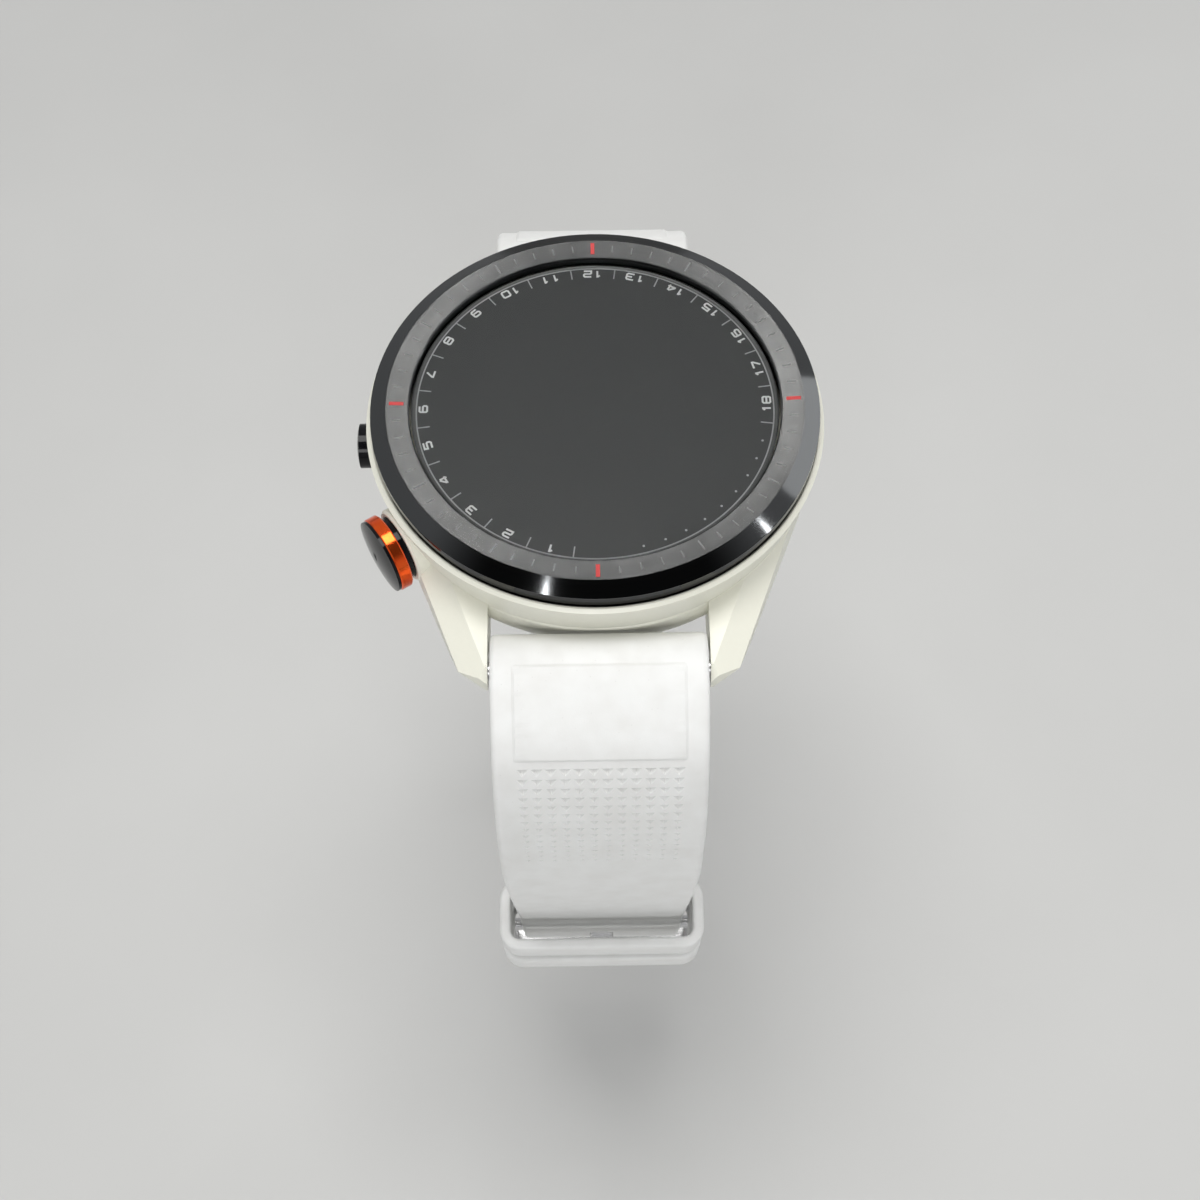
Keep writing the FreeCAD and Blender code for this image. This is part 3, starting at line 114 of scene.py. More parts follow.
class Finish:
    """One procedural material: a Principled shader with helpers for what drives it."""

    def __init__(self, name, colour, roughness, **constants):
        self.material = bpy.data.materials.new(name)
        self.material.use_nodes = True
        self.tree = self.material.node_tree
        self.shader = self.tree.nodes["Principled BSDF"]
        self.set("Base Color", colour)
        self.set("Roughness", roughness)
        for socket, value in constants.items():
            self.set(socket.replace("_", " "), value)
        self.normal = None
        place = self.tree.nodes.new("ShaderNodeTexCoord")
        scale = self.tree.nodes.new("ShaderNodeVectorMath")
        scale.operation = "SCALE"
        scale.inputs["Scale"].default_value = 1 / MM
        self.tree.links.new(place.outputs["Object"], scale.inputs[0])
        self.place = scale.outputs["Vector"]

    def set(self, socket, value):
        target = self.shader.inputs[socket]
        if isinstance(value, bpy.types.NodeSocket):
            self.tree.links.new(value, target)
        elif isinstance(value, tuple):
            target.default_value = (*value, 1.0)
        else:
            target.default_value = value

    def feed(self, node, socket, value):
        if isinstance(value, bpy.types.NodeSocket):
            self.tree.links.new(value, node.inputs[socket])
        elif isinstance(value, tuple) and len(value) == 3 and node.inputs[socket].type == "RGBA":
            node.inputs[socket].default_value = (*value, 1.0)
        else:
            node.inputs[socket].default_value = value

    def math(self, operation, a, b=0.0, c=0.0):
        node = self.tree.nodes.new("ShaderNodeMath")
        node.operation = operation
        for index, value in enumerate((a, b, c)):
            self.feed(node, index, value)
        return node.outputs[0]

    def parts(self):
        node = self.tree.nodes.new("ShaderNodeSeparateXYZ")
        self.feed(node, 0, self.place)
        return node.outputs

    def vector(self, x, y, z):
        node = self.tree.nodes.new("ShaderNodeCombineXYZ")
        for index, value in enumerate((x, y, z)):
            self.feed(node, index, value)
        return node.outputs[0]

    def noise(self, scale, detail=2.0, vector=None):
        node = self.tree.nodes.new("ShaderNodeTexNoise")
        self.feed(node, "Vector", vector or self.place)
        self.feed(node, "Scale", scale)
        self.feed(node, "Detail", detail)
        self.feed(node, "Roughness", 0.5)
        return node.outputs["Fac"]

    def cells(self, scale, feature="F1"):
        node = self.tree.nodes.new("ShaderNodeTexVoronoi")
        node.feature = feature
        self.feed(node, "Vector", self.place)
        self.feed(node, "Scale", scale)
        return node.outputs["Distance"]

    def between(self, value, low_in, high_in, low_out=0.0, high_out=1.0):
        node = self.tree.nodes.new("ShaderNodeMapRange")
        for index, number in enumerate((value, low_in, high_in, low_out, high_out)):
            self.feed(node, index, number)
        return node.outputs[0]

    def mix(self, share, a, b):
        node = self.tree.nodes.new("ShaderNodeMix")
        node.data_type = "RGBA"
        self.feed(node, 0, share)
        self.feed(node, 6, a)
        self.feed(node, 7, b)
        return node.outputs[2]

    def bump(self, height, depth):
        """Adds relief: height runs 0 to 1 and depth is what 1 stands for, in millimetres."""
        node = self.tree.nodes.new("ShaderNodeBump")
        self.feed(node, "Height", height)
        self.feed(node, "Distance", depth * MM)
        self.feed(node, "Strength", 1.0)
        if self.normal:
            self.tree.links.new(self.normal, node.inputs["Normal"])
        self.normal = node.outputs[0]
        self.set("Normal", self.normal)


def case_finish():
    """Warm white reinforced polymer: satin spark-eroded grain, soft mottling, shine that varies."""
    colour = (0.80, 0.795, 0.70)
    f = Finish("case_white", colour, 0.36)
    patch = f.noise(0.22, 3.0)
    speck = f.noise(1.7, 4.0)
    tint = tuple(c * 0.97 for c in colour)
    f.set("Base Color", f.mix(f.math("MULTIPLY", patch, f.between(speck, 0.3, 0.7)), colour, tint))
    f.set("Roughness", f.between(f.noise(0.6, 3.0), 0.25, 0.75, 0.31, 0.42))
    f.bump(f.noise(9.0, 2.0), 0.006)
    f.bump(f.noise(0.5, 2.0), 0.02)
    return f.material


def silicone_finish():
    """Cool white silicone, matte, with a powdery bloom and faint grey specks."""
    colour = (0.80, 0.805, 0.795)
    f = Finish("strap_white", colour, 0.52, Sheen_Weight=0.12, Sheen_Roughness=0.4)
    bloom = f.noise(0.35, 4.0)
    dust = f.between(f.cells(1.15), 0.035, 0.07, 1.0, 0.0)
    worn = f.mix(f.between(bloom, 0.35, 0.7), colour, (0.76, 0.76, 0.745))
    f.set("Base Color", f.mix(f.math("MULTIPLY", dust, 0.30), worn, (0.42, 0.42, 0.40)))
    f.set("Roughness", f.between(bloom, 0.3, 0.7, 0.47, 0.6))
    f.bump(f.noise(7.0, 3.0), 0.01)
    return f.material


def bezel_finish():
    """Black coated steel: the flat top brushed round the dial, the chamfer and band polished. Lighter sectors
    painted on the top stand for its highlight fans.
    """
    f = Finish("bezel_black", (0.05, 0.05, 0.05), 0.1, Metallic=1.0, Anisotropic=0.5)
    x, y, z = f.parts()
    radius = f.math("SQRT", f.math("ADD", f.math("MULTIPLY", x, x), f.math("MULTIPLY", y, y)))
    turn = f.math("ARCTAN2", x, y)
    on_top = f.math("LESS_THAN", radius, BEZEL_RADIUS - CHAMFER_RUN + 0.01)
    above = f.math("GREATER_THAN", z, BEZEL_TOP - BEZEL_DISH - 0.06)
    top = f.math("MULTIPLY", on_top, above)
    slope = f.math("GREATER_THAN", z, CHAMFER_FOOT)
    streak = f.noise(1.0, 3.0, f.vector(f.math("MULTIPLY", radius, 26.0), f.math("MULTIPLY", turn, 2.2), 0.0))
    # lighter sectors round the brushed top: painted highlight fans of its brushed reflection
    painted_fan_highlight = f.noise(1.0, 2.0, f.vector(f.math("MULTIPLY", radius, 0.3), f.math("MULTIPLY", turn, 5.0), 0.0))
    grey = f.mix(f.between(streak, 0.3, 0.7), (0.095, 0.096, 0.094), (0.150, 0.151, 0.148))
    grey = f.mix(f.between(painted_fan_highlight, 0.35, 0.7, 0.0, 0.5), grey, (0.19, 0.19, 0.187))
    f.set("Base Color", f.mix(top, f.mix(slope, (0.028, 0.029, 0.030), (0.095, 0.098, 0.100)), grey))
    f.set("Roughness", f.math("ADD", f.math("MULTIPLY", top, f.between(streak, 0.3, 0.7, 0.10, 0.17)), 0.07))
    f.bump(f.math("MULTIPLY", top, streak), 0.0006)
    tangent = f.tree.nodes.new("ShaderNodeTangent")
    tangent.direction_type = "RADIAL"
    tangent.axis = "Z"
    f.set("Tangent", tangent.outputs[0])
    return f.material


def glass_finish():
    """Hardened cover glass, coated against glare, with the lightest trace of handling."""
    f = Finish("lens_glass", (0.96, 0.975, 0.97), 0.0, Transmission_Weight=1.0, IOR=1.46)
    f.set("Coat Weight", f.between(f.noise(0.25, 3.0), 0.45, 0.75, 0.0, 0.03))
    return f.material


def display_finish():
    """Unlit transflective display: dark grey-green with the finest of pixel grids."""
    f = Finish("display_dark", (0.026, 0.030, 0.029), 0.42)
    x, y, z = f.parts()
    columns, rows = (f.math("SINE", f.math("MULTIPLY", part, 45.0)) for part in (x, y))
    grid = f.math("MAXIMUM", columns, rows)
    tone = f.mix(f.between(grid, -1.0, 1.0), (0.014, 0.0165, 0.016), (0.015, 0.0175, 0.017))
    f.set("Base Color", f.mix(f.between(f.noise(0.1, 2.0), 0.3, 0.7, 0.0, 0.4), tone, (0.018, 0.020, 0.019)))
    return f.material


def ink_finish(name, colour, roughness=0.5):
    """Screen-printed ink, a little uneven in cover."""
    f = Finish(name, colour, roughness)
    thin = tuple(c * 0.82 for c in colour)
    f.set("Base Color", f.mix(f.between(f.noise(14.0, 2.0), 0.4, 0.75), colour, thin))
    f.bump(f.noise(20.0, 2.0), 0.002)
    return f.material


def gloss_finish(name, colour, roughness, depth=0.003, **constants):
    """Polished moulding with faint orange peel and smears that dull it in places."""
    f = Finish(name, colour, roughness, **constants)
    worn = tuple(c * 1.25 for c in colour)
    f.set("Base Color", f.mix(f.between(f.noise(0.5, 3.0), 0.35, 0.7), colour, worn))
    f.set("Roughness", f.between(f.noise(0.9, 4.0), 0.35, 0.75, roughness, roughness + 0.12))
    f.bump(f.noise(2.5, 2.0), depth)
    return f.material


def metal_finish(name, colour, roughness, axis, fine=40.0, **constants):
    """Brushed metal whose lines run along the given axis of the row frame."""
    f = Finish(name, colour, roughness, Metallic=1.0, **constants)
    along = [f.math("MULTIPLY", part, 0.7 if letter == axis else fine)
             for letter, part in zip("xyz", f.parts())]
    line = f.noise(1.0, 3.0, f.vector(*along))
    f.set("Base Color", f.mix(f.between(line, 0.3, 0.7), tuple(c * 0.86 for c in colour), colour))
    f.set("Roughness", f.between(line, 0.3, 0.7, roughness - 0.05, roughness + 0.1))
    f.bump(line, 0.004)
    return f.material


def anodised_finish():
    """Orange-red anodised aluminium, turned and polished."""
    f = Finish("button_orange", (0.85, 0.11, 0.012), 0.12, Metallic=0.9)
    grain = f.noise(12.0, 3.0)
    patch = f.noise(0.9, 2.0)
    colour = f.mix(f.between(patch, 0.3, 0.7), (0.88, 0.085, 0.012), (0.96, 0.13, 0.02))
    f.set("Base Color", f.mix(f.between(grain, 0.5, 0.8, 0.0, 0.2), colour, (1.0, 0.2, 0.05)))
    f.set("Roughness", f.between(grain, 0.3, 0.7, 0.09, 0.18))
    f.bump(grain, 0.001)
    return f.material


def board_finish():
    """Green solder mask over copper tracks, seen only when the case is open."""
    f = Finish("board_green", (0.02, 0.14, 0.05), 0.35)
    x, y, z = f.parts()
    wave = f.math("SINE", f.math("MULTIPLY", f.math("ADD", x, y), 3.2))
    track = f.math("LESS_THAN", f.math("ABSOLUTE", wave), 0.18)
    patch = f.math("GREATER_THAN", f.noise(0.4, 1.0), 0.5)
    lit = f.math("MULTIPLY", track, patch)
    f.set("Base Color", f.mix(lit, (0.02, 0.13, 0.05), (0.05, 0.24, 0.09)))
    f.bump(lit, 0.02)
    return f.material


def foil_finish():
    """Battery pouch: thin silver foil with soft creases, painted darker along them as shade."""
    f = Finish("battery_foil", (0.75, 0.75, 0.77), 0.3, Metallic=1.0)
    crease_and_painted_shade = f.cells(0.25, "DISTANCE_TO_EDGE")
    f.set("Roughness", f.between(f.noise(1.2, 3.0), 0.3, 0.7, 0.24, 0.4))
    # darker colour along the creases is painted shade; the bump below gives their relief
    f.set("Base Color", f.mix(f.between(crease_and_painted_shade, 0.0, 0.06), (0.6, 0.6, 0.63), (0.77, 0.77, 0.79)))
    f.bump(f.between(crease_and_painted_shade, 0.0, 0.12), 0.03)
    return f.material


def sensor_finish():
    """Smoked window of the pulse sensor: near-black gloss."""
    return gloss_finish("sensor_gloss", (0.012, 0.011, 0.014), 0.05, 0.002,
                        Coat_Weight=0.6, Coat_Roughness=0.03)


def rubber_finish(name, colour):
    f = Finish(name, colour, 0.6)
    f.set("Base Color", f.mix(f.between(f.noise(1.4, 3.0), 0.3, 0.7), colour, tuple(c * 1.5 for c in colour)))
    f.bump(f.noise(9.0, 3.0), 0.01)
    return f.material


FINISHES = {
    "case_white": case_finish(),
    "strap_white": silicone_finish(),
    "bezel_black": bezel_finish(),
    "lens_glass": glass_finish(),
    "display_dark": display_finish(),
    "seal_rubber": rubber_finish("seal_rubber", (0.016, 0.016, 0.017)),
    "frame_black": gloss_finish("frame_black", (0.02, 0.02, 0.021), 0.35, 0.006),
    "board_green": board_finish(),
    "battery_foil": foil_finish(),
    "shield_metal": metal_finish("shield_metal", (0.62, 0.62, 0.63), 0.3, "x", 12.0),
    "sensor_gloss": sensor_finish(),
    "sensor_white": gloss_finish("sensor_white", (0.55, 0.62, 0.56), 0.25),
    "contact_gold": metal_finish("contact_gold", (0.95, 0.70, 0.30), 0.2, "z", 20.0),
    "steel": metal_finish("steel", (0.60, 0.60, 0.61), 0.28, "x", 22.0),
    "buckle_steel": metal_finish("buckle_steel", (0.66, 0.66, 0.67), 0.26, "x", 30.0),
    "switch_black": rubber_finish("switch_black", (0.03, 0.03, 0.032)),
    "button_black": gloss_finish("button_black", (0.004, 0.004, 0.005), 0.07, 0.001, Specular_IOR_Level=0.18),
    "button_orange": anodised_finish(),
}
INK_WHITE = ink_finish("ink_white", (0.88, 0.90, 0.89))
INK_GREY = ink_finish("ink_grey", (0.42, 0.43, 0.43))
# grey of the ring round the display: painted shadow of the lens edge and bezel wall
LENS_EDGE_SHADOW_GREY = gloss_finish("lens_edge_shadow_grey", (0.050, 0.052, 0.050), 0.3)
LACQUER_RED = ink_finish("lacquer_red", (0.52, 0.014, 0.014), 0.3)
ETCH_GREY = ink_finish("etch_grey", (0.17, 0.175, 0.17), 0.45)


def paint_nodes():
    """Every CAD node takes the finish of the material slot that the record gives it."""
    for row in frame["record"]["subparts"]:
        mesh = NODES[row["node"]].data
        mesh.materials.clear()
        mesh.materials.append(FINISHES[row["material_slot"]])


# ---------------------------------------------------------------- mesh helpers

def piece(name, mesh, body, finish, smooth=30.0):
    """A finished mesh in millimetres becomes a piece that rides on its body."""
    mesh.transform(Matrix.Scale(MM, 4))
    obj = bpy.data.objects.new(name, mesh)
    bpy.context.scene.collection.objects.link(obj)
    mesh.materials.clear()
    mesh.materials.append(finish)
    shade(mesh, smooth)
    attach(obj, body)
    return obj


def shade(mesh, angle):
    mesh.polygons.foreach_set("use_smooth", [True] * len(mesh.polygons))
    mesh.set_sharp_from_angle(angle=math.radians(angle))


def mesh_from(bm, name):
    bmesh.ops.recalc_face_normals(bm, faces=bm.faces[:])
    mesh = bpy.data.meshes.new(name)
    bm.to_mesh(mesh)
    bm.free()
    return mesh


def lathe(bm, profile, steps=192):
    """Solid of revolution about Z from a closed (radius, z) profile."""
    rings = []
    for radius, z in profile:
        rings.append([bm.verts.new((radius * math.sin(2 * math.pi * k / steps),
                                    radius * math.cos(2 * math.pi * k / steps), z)) for k in range(steps)])
    count = len(rings)
    for i in range(count):
        inner, outer = rings[i], rings[(i + 1) % count]
        for k in range(steps):
            j = (k + 1) % steps
            bm.faces.new((inner[k], inner[j], outer[j], outer[k]))


def stroke_sides(points, width, closed):
    """Left and right edges of a pen stroke, mitred at its corners."""
    left, right = [], []
    count = len(points)
    for i, point in enumerate(points):
        before = points[i - 1] if closed or i else None
        after = points[(i + 1) % count] if closed or i < count - 1 else None
        headings = []
        for a, b in ((before, point), (point, after)):
            if a is not None and b is not None:
                headings.append((Vector(b) - Vector(a)).normalized())
        heading = sum(headings, Vector((0, 0))).normalized()
        across = Vector((-heading.y, heading.x))
        reach = width / 2 / max(across.dot(Vector((-headings[0].y, headings[0].x))), 0.5)
        left.append(Vector(point) + across * reach)
        right.append(Vector(point) - across * reach)
    return left, right


def stroke(bm, points, width, closed, to_dial, foot, top):
    """A pen stroke as a thin closed solid; to_dial puts a flat point on the dial."""
    left, right = stroke_sides(points, width, closed)
    corners = []
    for a, b in zip(left, right):
        edge = ((a, foot), (b, foot), (b, top), (a, top))
        corners.append([bm.verts.new((*to_dial(point), z)) for point, z in edge])
    spans = len(corners) if closed else len(corners) - 1
    for i in range(spans):
        here, there = corners[i], corners[(i + 1) % len(corners)]
        for k in range(4):
            m = (k + 1) % 4
            bm.faces.new((here[k], here[m], there[m], there[k]))
    if not closed:
        bm.faces.new(corners[0][::-1])
        bm.faces.new(corners[-1])


# ---------------------------------------------------------------- dial

NOTCH = 0.14
ROUND_BOX = [(NOTCH, 0), (1 - NOTCH, 0), (1, NOTCH), (1, 1 - NOTCH), (1 - NOTCH, 1), (NOTCH, 1),
             (0, 1 - NOTCH), (0, NOTCH)]
# strokes of each numeral in a unit cell: (closed, points)
NUMERALS = {
    "0": [(True, ROUND_BOX)],
    "1": [(False, [(0.28, 0.78), (0.52, 1), (0.60, 1), (0.60, 0)])],
    "2": [(False, [(0, 1), (1 - NOTCH, 1), (1, 1 - NOTCH), (1, 0.62), (0.87, 0.5), (0.13, 0.5), (0, 0.38),
                   (0, 0), (1, 0)])],
    "3": [(False, [(0, 1), (1 - NOTCH, 1), (1, 1 - NOTCH), (1, NOTCH), (1 - NOTCH, 0), (0, 0)]),
          (False, [(0.25, 0.5), (1, 0.5)])],
    "4": [(False, [(0.66, 1), (0, 0.36), (0, 0.27), (1, 0.27)]), (False, [(0.76, 1), (0.76, 0)])],
    "5": [(False, [(1, 1), (0, 1), (0, 0.58), (1 - NOTCH, 0.58), (1, 0.45), (1, NOTCH), (1 - NOTCH, 0),
                   (0, 0)])],
    "6": [(False, [(0.92, 1), (NOTCH, 1), (0, 1 - NOTCH), (0, NOTCH), (NOTCH, 0), (1 - NOTCH, 0), (1, NOTCH),
                   (1, 0.42), (1 - NOTCH, 0.56), (0, 0.56)])],
    "7": [(False, [(0, 1), (1, 1), (1, 0.84), (0.45, 0)])],
    "8": [(True, ROUND_BOX), (False, [(0, 0.5), (1, 0.5)])],
    "9": [(False, [(0.08, 0), (1 - NOTCH, 0), (1, NOTCH), (1, 1 - NOTCH), (1 - NOTCH, 1), (NOTCH, 1),
                   (0, 1 - NOTCH), (0, 0.58), (NOTCH, 0.44), (1, 0.44)])],
}
DISPLAY_FACE = GLASS_TOP - 0.42
PRINT_HEIGHT = 0.02
TRACK_RADIUS = 18.62
NUMERAL_RADIUS = 17.97
NUMERAL_HEIGHT = 0.80
NUMERAL_WIDTH = 0.80
NUMERAL_STROKE = 0.21
NUMERAL_SPACING = 0.35
NUMERAL_STEP = 15.0
HOLES_OF_GOLF = 18
# numerals up to this one have their heads to the rim, the others to the centre
LAST_OUTWARD = 6
TICK_REACH = 1.25
TICK_WIDTH = 0.14
TRACK_WIDTH = 0.15
DOT_RADIUS = 0.13
DOT_DEPTH = 0.75
DOT_COUNT = 9
DOT_START = 285.0


def clock(radius, degrees):
    """Point at a clockwise angle from twelve o'clock."""
    turn = math.radians(degrees)
    return radius * math.sin(turn), radius * math.cos(turn)


def dial_frame(radius, degrees, outward):
    """Maps flat (x, y) to the dial, with y along the radius."""
    turn = math.radians(degrees)
    away = Vector((math.sin(turn), math.cos(turn)))
    along = Vector((math.cos(turn), -math.sin(turn)))
    sign = 1 if outward else -1
    return lambda p: tuple(away * (radius + sign * p[1]) + along * (sign * p[0]))


def draw_number(bm, number, degrees, outward, foot, top):
    text = str(number)
    to_dial = dial_frame(NUMERAL_RADIUS, degrees, outward)
    advance = NUMERAL_WIDTH + NUMERAL_SPACING
    for index, digit in enumerate(text):
        shift = (index - (len(text) - 1) / 2) * advance
        for closed, points in NUMERALS[digit]:
            cell = [(shift + (x - 0.5) * NUMERAL_WIDTH, (y - 0.5) * NUMERAL_HEIGHT) for x, y in points]
            stroke(bm, cell, NUMERAL_STROKE, closed, to_dial, foot, top)


def make_dial():
    """What shows under the glass: the display face, its track, ticks, dots and numerals, and a dark ring of
    painted shadow at its edge.
    """
    face = bmesh.new()
    rim = GLASS_RADIUS - 0.5
    foot = GLASS_FOOT + 0.02
    middle = Matrix.Translation((0, 0, (DISPLAY_FACE + foot) / 2))
    bmesh.ops.create_cone(face, cap_ends=True, segments=160, radius1=rim, radius2=rim,
                          depth=DISPLAY_FACE - foot, matrix=middle)
    piece("display_face", mesh_from(face, "display_face"), "case", FINISHES["display_dark"])

    # ring round the display under the glass edge: painted shadow of the lens edge and bezel wall
    shadow_ring = bmesh.new()
    lathe(shadow_ring, [(rim + 0.005, foot), (GLASS_RADIUS - 0.1, foot), (GLASS_RADIUS - 0.1, DISPLAY_FACE),
                 (rim + 0.005, DISPLAY_FACE)])
    piece("lens_edge_shadow_ring", mesh_from(shadow_ring, "lens_edge_shadow_ring"), "case", LENS_EDGE_SHADOW_GREY)

    low_z, high_z = DISPLAY_FACE + 0.002, DISPLAY_FACE + PRINT_HEIGHT
    grey = bmesh.new()
    outer = TRACK_RADIUS + TRACK_WIDTH
    lathe(grey, [(TRACK_RADIUS, low_z), (outer, low_z), (outer, high_z), (TRACK_RADIUS, high_z)])
    for index in range(HOLES_OF_GOLF + 1):
        to_dial = dial_frame(TRACK_RADIUS, (index + 0.5) * NUMERAL_STEP, False)
        stroke(grey, [(0, 0.01), (0, TICK_REACH)], TICK_WIDTH, False, to_dial, low_z, high_z)
    piece("dial_track", mesh_from(grey, "dial_track"), "case", INK_GREY)

    white = bmesh.new()
    for number in range(1, HOLES_OF_GOLF + 1):
        draw_number(white, number, number * NUMERAL_STEP, number <= LAST_OUTWARD, low_z, high_z)
    piece("dial_numerals", mesh_from(white, "dial_numerals"), "case", INK_WHITE)

    dots = bmesh.new()
    for index in range(DOT_COUNT):
        x, y = clock(TRACK_RADIUS - DOT_DEPTH, DOT_START + index * NUMERAL_STEP / 2)
        bmesh.ops.create_cone(dots, cap_ends=True, segments=16, radius1=DOT_RADIUS, radius2=DOT_RADIUS,
                              depth=high_z - low_z, matrix=Matrix.Translation((x, y, (low_z + high_z) / 2)))
    piece("dial_dots", mesh_from(dots, "dial_dots"), "case", INK_GREY)


def bezel_height(radius):
    """Height of the bezel's dished top."""
    outer = BEZEL_RADIUS - CHAMFER_RUN
    inner = GLASS_RADIUS + 0.15
    return BEZEL_TOP - BEZEL_DISH * (outer - radius) / (outer - inner)


def bezel_mark(bm, degrees, inner, outer, width, proud):
    """Bar on the bezel's top, sunk a little below its surface and just proud of it."""
    frame_at = dial_frame(0, degrees, True)
    rows = []
    for radius in (inner, outer):
        z = bezel_height(radius)
        for side in (-1, 1):
            x, y = frame_at((side * width / 2, radius))
            rows.append((bm.verts.new((x, y, z - 0.05)), bm.verts.new((x, y, z + proud))))
    (a, a_top), (b, b_top), (c, c_top), (d, d_top) = rows
    for face in ((a, b, d, c), (a_top, c_top, d_top, b_top), (a, a_top, b_top, b), (c, d, d_top, c_top),
                 (a, c, c_top, a_top), (b, b_top, d_top, d)):
        bm.faces.new(face)


# inner radius, outer radius, width and stand above the ring
QUARTER_MARK = (19.95, 21.45, 0.42, 0.012)
HOUR_MARK = (20.05, 21.35, 0.15, 0.006)
MINUTE_MARK = (20.25, 21.15, 0.13, 0.006)


def make_bezel_marks():
    ticks = bmesh.new()
    reds = bmesh.new()
    for minute in range(60):
        degrees = minute * 6.0
        if minute % 15 == 0:
            bezel_mark(reds, degrees, *QUARTER_MARK)
        elif minute % 5 == 0:
            bezel_mark(ticks, degrees, *HOUR_MARK)
        else:
            bezel_mark(ticks, degrees, *MINUTE_MARK)
    piece("bezel_ticks", mesh_from(ticks, "bezel_ticks"), "case", ETCH_GREY)
    piece("bezel_red_marks", mesh_from(reds, "bezel_red_marks"), "case", LACQUER_RED)


# ---------------------------------------------------------------- strap

def slope_normal(degrees):
    turn = math.radians(degrees)
    return Vector((math.sin(turn), math.cos(turn)))


def sweep(centre, radius, begin, end, steps):
    """Points of an arc: angles are clockwise from straight up, as slopes of the strap are."""
    return [centre + radius * slope_normal(begin + (end - begin) * k / steps) for k in range(steps + 1)]


HUB_STEPS = 12
BEND_STEPS = 22
DROP_STEPS = 14


def strap_chains():
    """Outer and inner side lines that both halves share, from the hub to where they hang straight."""
    t = STRAP
    start, middle = slope_normal(t["start_slope"]), slope_normal(t["mid_slope"])
    bend_centre = start * (t["hub"] - t["bend"])
    drop_centre = bend_centre + middle * (t["bend"] - t["drop"])
    inner_bend = t["bend"] - t["thick"]
    reach = t["bend"] - t["hub"]
    toward = (reach ** 2 + t["hub"] ** 2 - inner_bend ** 2) / (2 * reach)
    aside = math.sqrt(t["hub"] ** 2 - toward ** 2)
    joint = Vector((aside * start.y - toward * start.x, -aside * start.x - toward * start.y))
    joint_angle = math.degrees(math.atan2(joint.x, joint.y))
    joint_slope = math.degrees(math.atan2(joint.x - bend_centre.x, joint.y - bend_centre.y))
    outer = sweep(Vector((0, 0)), t["hub"], -90.0, t["start_slope"], HUB_STEPS)
    inner = sweep(Vector((0, 0)), t["hub"], -90.0, joint_angle - 360.0, HUB_STEPS)
    outer += sweep(bend_centre, t["bend"], t["start_slope"], t["mid_slope"], BEND_STEPS)[1:]
    inner += sweep(bend_centre, inner_bend, joint_slope, t["mid_slope"], BEND_STEPS)[1:]
    outer += sweep(drop_centre, t["drop"], t["mid_slope"], 90.0, DROP_STEPS)[1:]
    inner += sweep(drop_centre, t["drop"] - t["thick"], t["mid_slope"], 90.0, DROP_STEPS)[1:]
    return outer, inner


def half_width(height):
    """Half the strap's width at a height below the pin."""
    t = STRAP
    share = (height - t["taper_start"]) / (t["taper_end"] - t["taper_start"])
    share = min(max(share, 0.0), 1.0)
    return t["half"] + (t["end_half"] - t["half"]) * share


def buckle_chains():
    t = STRAP
    outer, inner = strap_chains()
    lean_centre = outer[-1] - Vector((t["lean"], 0))
    outer += sweep(lean_centre, t["lean"], 90.0, 90.0 + t["lean_angle"], 12)[1:]
    inner += sweep(lean_centre, t["lean"] - t["thick"], 90.0, 90.0 + t["lean_angle"], 12)[1:]
    lean = math.radians(t["lean_angle"])
    out = Vector((math.cos(lean), -math.sin(lean)))
    down = Vector((-math.sin(lean), -math.cos(lean)))
    end = outer[-1].copy()
    loop = BAR_RADIUS + LOOP_WALL
    bar = end + down * t["buckle_run"] - out * loop
    below = t["thick"] - loop
    back = math.sqrt(loop ** 2 - below ** 2)
    runs = 14
    for k in range(1, runs + 1):
        share = k / runs
        outer.append(end + down * t["buckle_run"] * share)
        inner.append(end - out * t["thick"] + down * (t["buckle_run"] - back) * share)
    bottom = math.degrees(math.atan2(down.x, down.y)) % 360.0
    outer_from = math.degrees(math.atan2(out.x, out.y)) % 360.0
    inner_at = inner[-1] - bar
    inner_from = math.degrees(math.atan2(inner_at.x, inner_at.y)) % 360.0
    outer += sweep(bar, loop, outer_from, bottom, 10)[1:]
    inner += sweep(bar, loop, inner_from, bottom, 10)[1:]
    return outer, inner, bar, end


def tail_chains():
    t = STRAP
    outer, inner = strap_chains()
    start = outer[-1].copy()
    steps = 46
    heights = [start.y - (t["tail_run"] - t["tip_radius"]) * k / steps for k in range(1, steps + 1)]
    foot = start.y - t["tail_run"]
    turns = 16
    heights += [foot + t["tip_radius"] * (1 - math.sin(math.radians(90.0 * k / turns)))
                for k in range(1, turns + 1)]
    for z in heights:
        outer.append(Vector((start.x, z)))
        inner.append(Vector((start.x - t["thick"], z)))
    return outer, inner, foot


def section(half, span, radius, arc=5):
    """Rounded section of the strap: (x, depth) points, depth from the outer face inwards."""
    radius = min(radius, half * 0.98, span * 0.49)
    points = []
    for centre_x, centre_y, begin in ((half - radius, radius, 0.0), (half - radius, span - radius, 90.0),
                                      (radius - half, span - radius, 180.0), (radius - half, radius, 270.0)):
        for k in range(arc + 1):
            turn = math.radians(begin + 90.0 * k / arc)
            points.append((centre_x + radius * math.sin(turn), centre_y - radius * math.cos(turn)))
    return points


